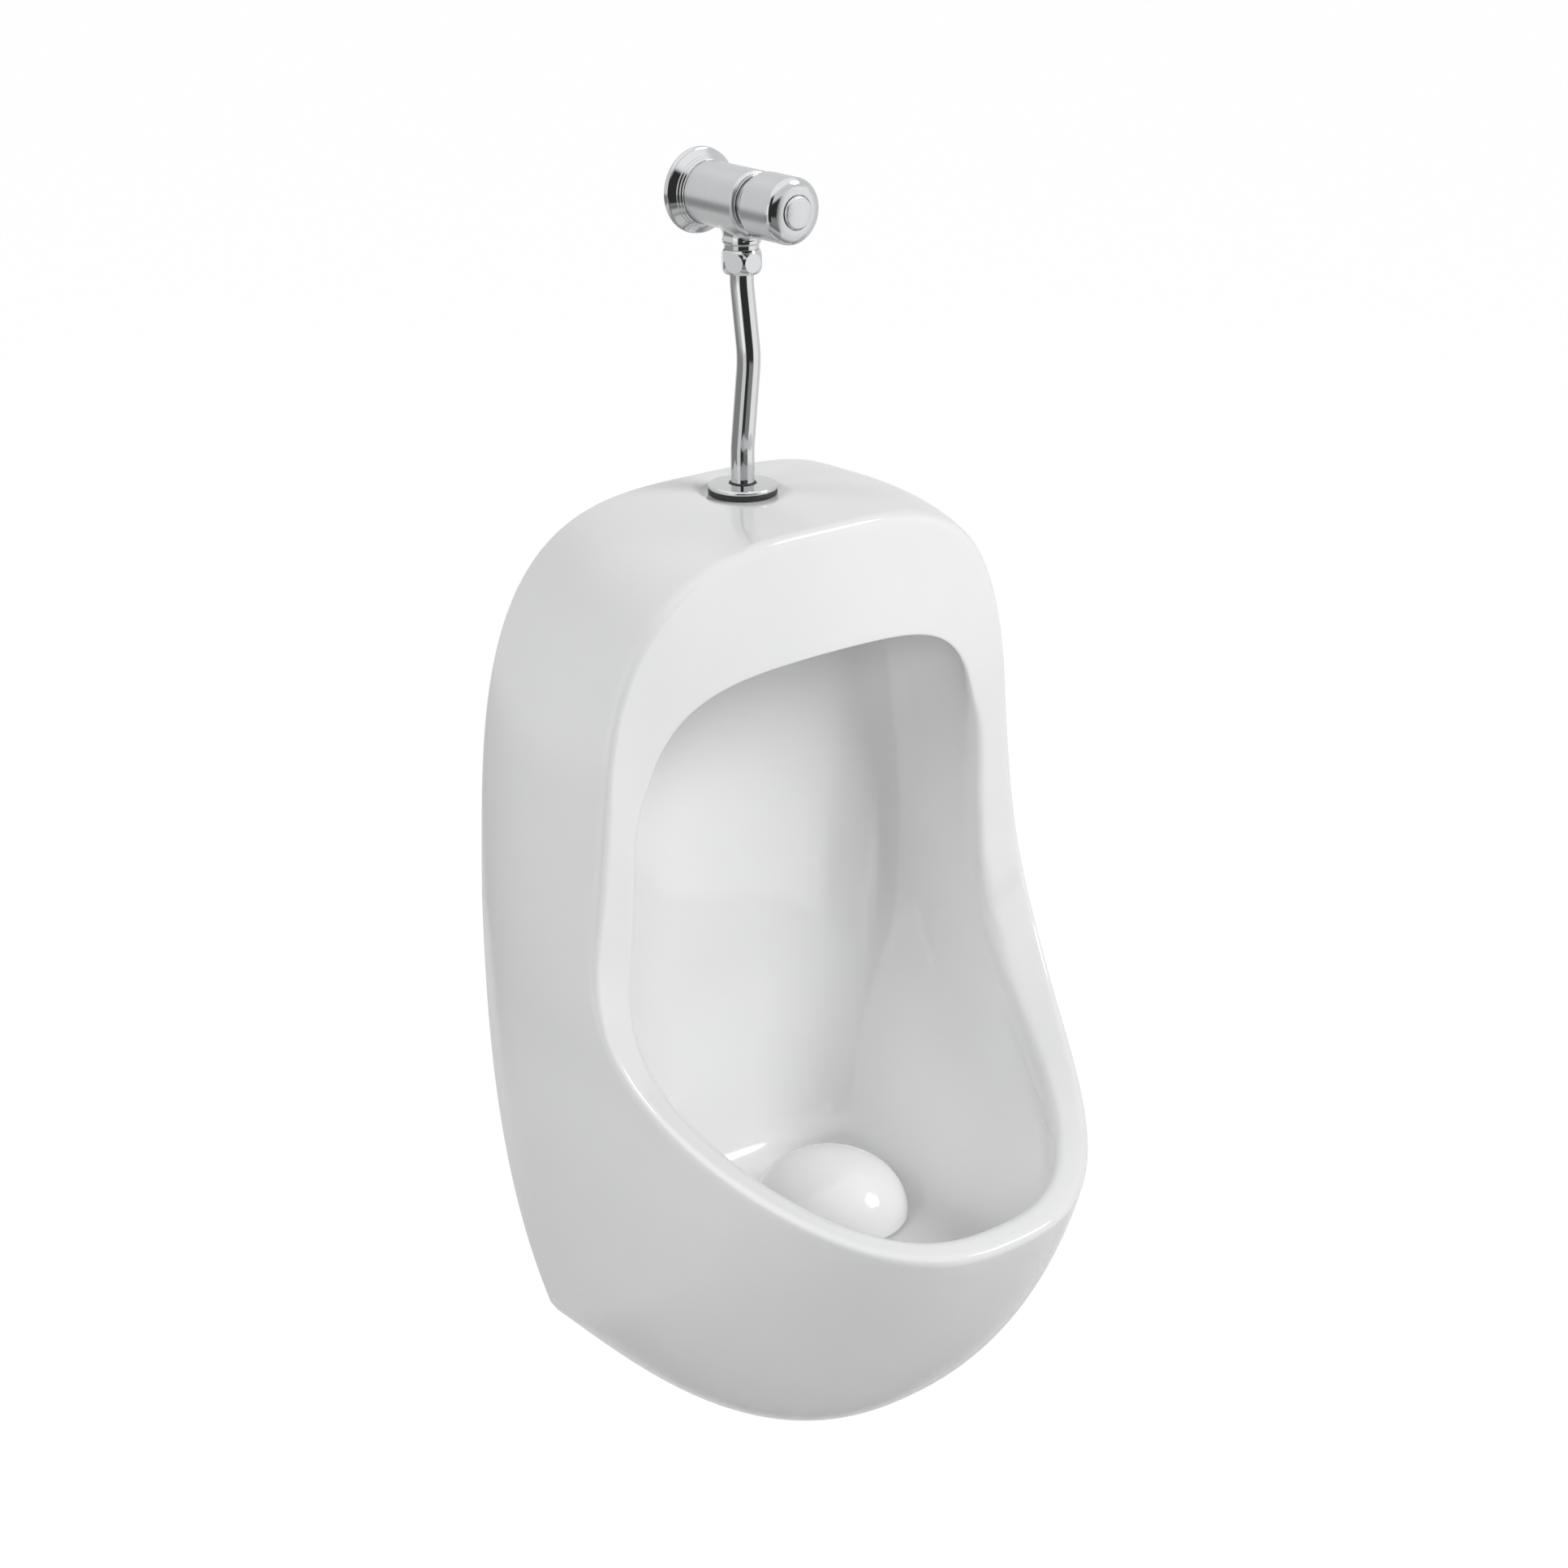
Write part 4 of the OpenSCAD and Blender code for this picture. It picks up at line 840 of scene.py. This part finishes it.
pipe = tube("bent_flush_pipe", bent_line(route, bend_radius, 16), pipe_half, pipe_bore)
finish(pipe, "urinal", "chrome", polished, "flush_pipe")


# Rosette. A shallow spun disc of chromed brass that lies loose over the head of the spud. The
# spinning has left fine rings in it, about the pipe's axis.
def at_spud(p):
    """From a turning axis to the spud's, with the height from the ceramic's flat."""
    return p + (0, -pipe_reach, seat_z)


spun, place, shader = new_material("spun_chrome", Metallic=1.0)
x, y, z = place.split()
y = y + pipe_reach * MM
radius = place.math("SQRT", x * x + y * y)
rings = radius.node("ShaderNodeTexNoise", {"noise_dimensions": "1D"},
                    {"W": radius, "Scale": 2600.0, "Detail": 2.0})
feed(shader, Base_Color=tint(rings, (0.57, 0.575, 0.58), (0.67, 0.675, 0.68)),
     Roughness=rings * 0.08 + 0.05, Normal=relief(rings, depth=0.0001, strength=0.1))
rosette = lathe("spud_rosette", [
    (8, 5.4), (13.6, 5.4), (13.6, 3.2), (19.9, 3.2), (20.5, 3.8, 0.4), (20.5, 5.2, 0.5),
    (19.6, 6.1, 0.5), (8.5, 6.6, 0.2), (8, 6.3, 0.2)], at_spud)
finish(rosette, "urinal", "chrome", spun, "inlet_rosette")


# Rubber rings. A moulded black washer between the rosette and the ceramic, and a thin ring
# round the foot of the pipe.
def mottled(name, tones, rough, grain, **constants):
    """A finish that changes a little by three noises. tones: scale, detail, dark and light
    colour; rough: scale, detail, least roughness and what is added; grain: scale, detail,
    depth in metres and strength."""
    material, place, shader = new_material(name, **constants)
    feed(shader, Base_Color=tint(noise(place, *tones[:2]), *tones[2:]),
         Roughness=noise(place, *rough[:2]) * rough[3] + rough[2],
         Normal=relief(noise(place, *grain[:2]), *grain[2:]))
    return material


rubber = mottled("black_rubber", tones=(200, 3, (0.012, 0.012, 0.013), (0.03, 0.03, 0.032)),
                 rough=(350, 2, 0.45, 0.25), grain=(1200, 3, 0.0001, 0.4), IOR=1.5)
washer_bore, washer_top = 10.7, 3.15
washer = lathe("rubber_washer", [
    (washer_bore, 0.02), (20.3, 0.02, 0.5), (20.5, 1.6, 0.6), (20.3, washer_top, 0.5),
    (washer_bore, washer_top)], at_spud)
finish(washer, "urinal", "black_rubber", rubber, "inlet_washer")
lip = lathe("pipe_lip", [
    (7.05, 5.3), (7.9, 5.3), (7.95, 6.6), (8.1, 6.7, 0.1), (7.8, 7.2, 0.2), (7.05, 7.4, 0.2)],
    at_spud)
finish(lip, "urinal", "black_rubber", rubber, "pipe_grommet")


# Drain cover. A plain white dome, moulded in gloss plastic, that stands on three feet over the
# waste, with a stem below it that sits in the waste's socket. It lifts off.
def over_drain(p):
    """From a turning axis to the drain's, with the height from the bowl's floor."""
    return p + (0, -drain_reach, floor_z)


gloss = mottled("white_gloss", tones=(12, 2, (0.82, 0.825, 0.822), (0.85, 0.853, 0.85)),
                rough=(40, 2, 0.03, 0.04), grain=(70, 1, 0.0003, 0.08), IOR=1.5)
cover_half, cover_high, cover_wall, cover_low = 49, 38, 4, 2.5
stem_half, stem_top, stem_end = 6, 36.1, -42
quarter = np.linspace(0, math.pi / 2, 30)


def dome_line(half, high, angles):
    """A quarter of an ellipse: (half cos a, low + high sin a), with a hair of rounding."""
    return [(half * math.cos(a), cover_low + high * math.sin(a), 0.02) for a in angles]


hollow_half, hollow_high = cover_half - cover_wall, cover_high - cover_wall
beside_stem = quarter[hollow_half * np.cos(quarter) > stem_half + 0.5]
cover = lathe("dome_cover", [
    (0, cover_low + cover_high), *dome_line(cover_half, cover_high, quarter[-2::-1]),
    *dome_line(hollow_half, hollow_high, beside_stem), (stem_half, stem_top, 0.3),
    (stem_half, stem_end + 1, 0.3), (stem_half - 1, stem_end, 0.4), (0, stem_end)],
    over_drain, closed=False, sides=200, steps=2)
finish(cover, "cover", "white_plastic", gloss, "drain_cover")
foot_reach = 46.8
foot_outline = [(0, 0.7), (1.6, 0.7, 0.5), (1.8, 4.6, 0.3), (0, 4.7)]
for number, way_round in enumerate(np.radians([30, 150, 270]), 1):
    aside = foot_reach * np.array([math.cos(way_round), math.sin(way_round), 0])
    foot = lathe(f"cover_foot_{number}", foot_outline, lambda p: over_drain(p + aside),
                 closed=False, sides=32)
    finish(foot, "cover", "white_plastic", gloss)

# Parts inside the valve, the inlet and the waste. Brass is turned and left bare, the waste, the
# spindle and the spring are stainless steel, and the seals between them are rubber.
brass = mottled("machined_brass", tones=(90, 3, (0.58, 0.42, 0.19), (0.74, 0.57, 0.31)),
                rough=(250, 2, 0.22, 0.12), grain=(900, 2, 0.0001, 0.2), Metallic=1.0)
coat(brass, "inlet_nipple", "valve_seat", "poppet", "inlet_spud", "spud_nut")
steel = mottled("drawn_steel", tones=(120, 3, (0.52, 0.52, 0.52), (0.68, 0.68, 0.67)),
                rough=(300, 2, 0.2, 0.12), grain=(700, 2, 0.0001, 0.2), Metallic=1.0)
coat(steel, "return_spring", "knob_screw", "spindle", "waste_body")
coat(rubber, "spindle_seal", "poppet_seal", "union_seal", "pipe_o_ring", "spud_gasket",
     "waste_gasket", "waste_washer", "trap_inlet_seal", "trap_cup_seal", "outlet_seal")

# Bottle trap and spray head. White plastic mouldings: the trap's are screwed together by hand
# under the waste, and the head sits at the inlet in the bowl's ceiling.
plastic = mottled("trap_plastic", tones=(20, 3, (0.74, 0.745, 0.74), (0.8, 0.803, 0.795)),
                  rough=(150, 2, 0.25, 0.12), grain=(500, 2, 0.0002, 0.15), IOR=1.46)
coat(plastic, "spray_head", "waste_locknut", "trap_inlet_nut", "trap_head", "dip_tube",
     "trap_cup", "outlet_nut", "outlet_pipe")
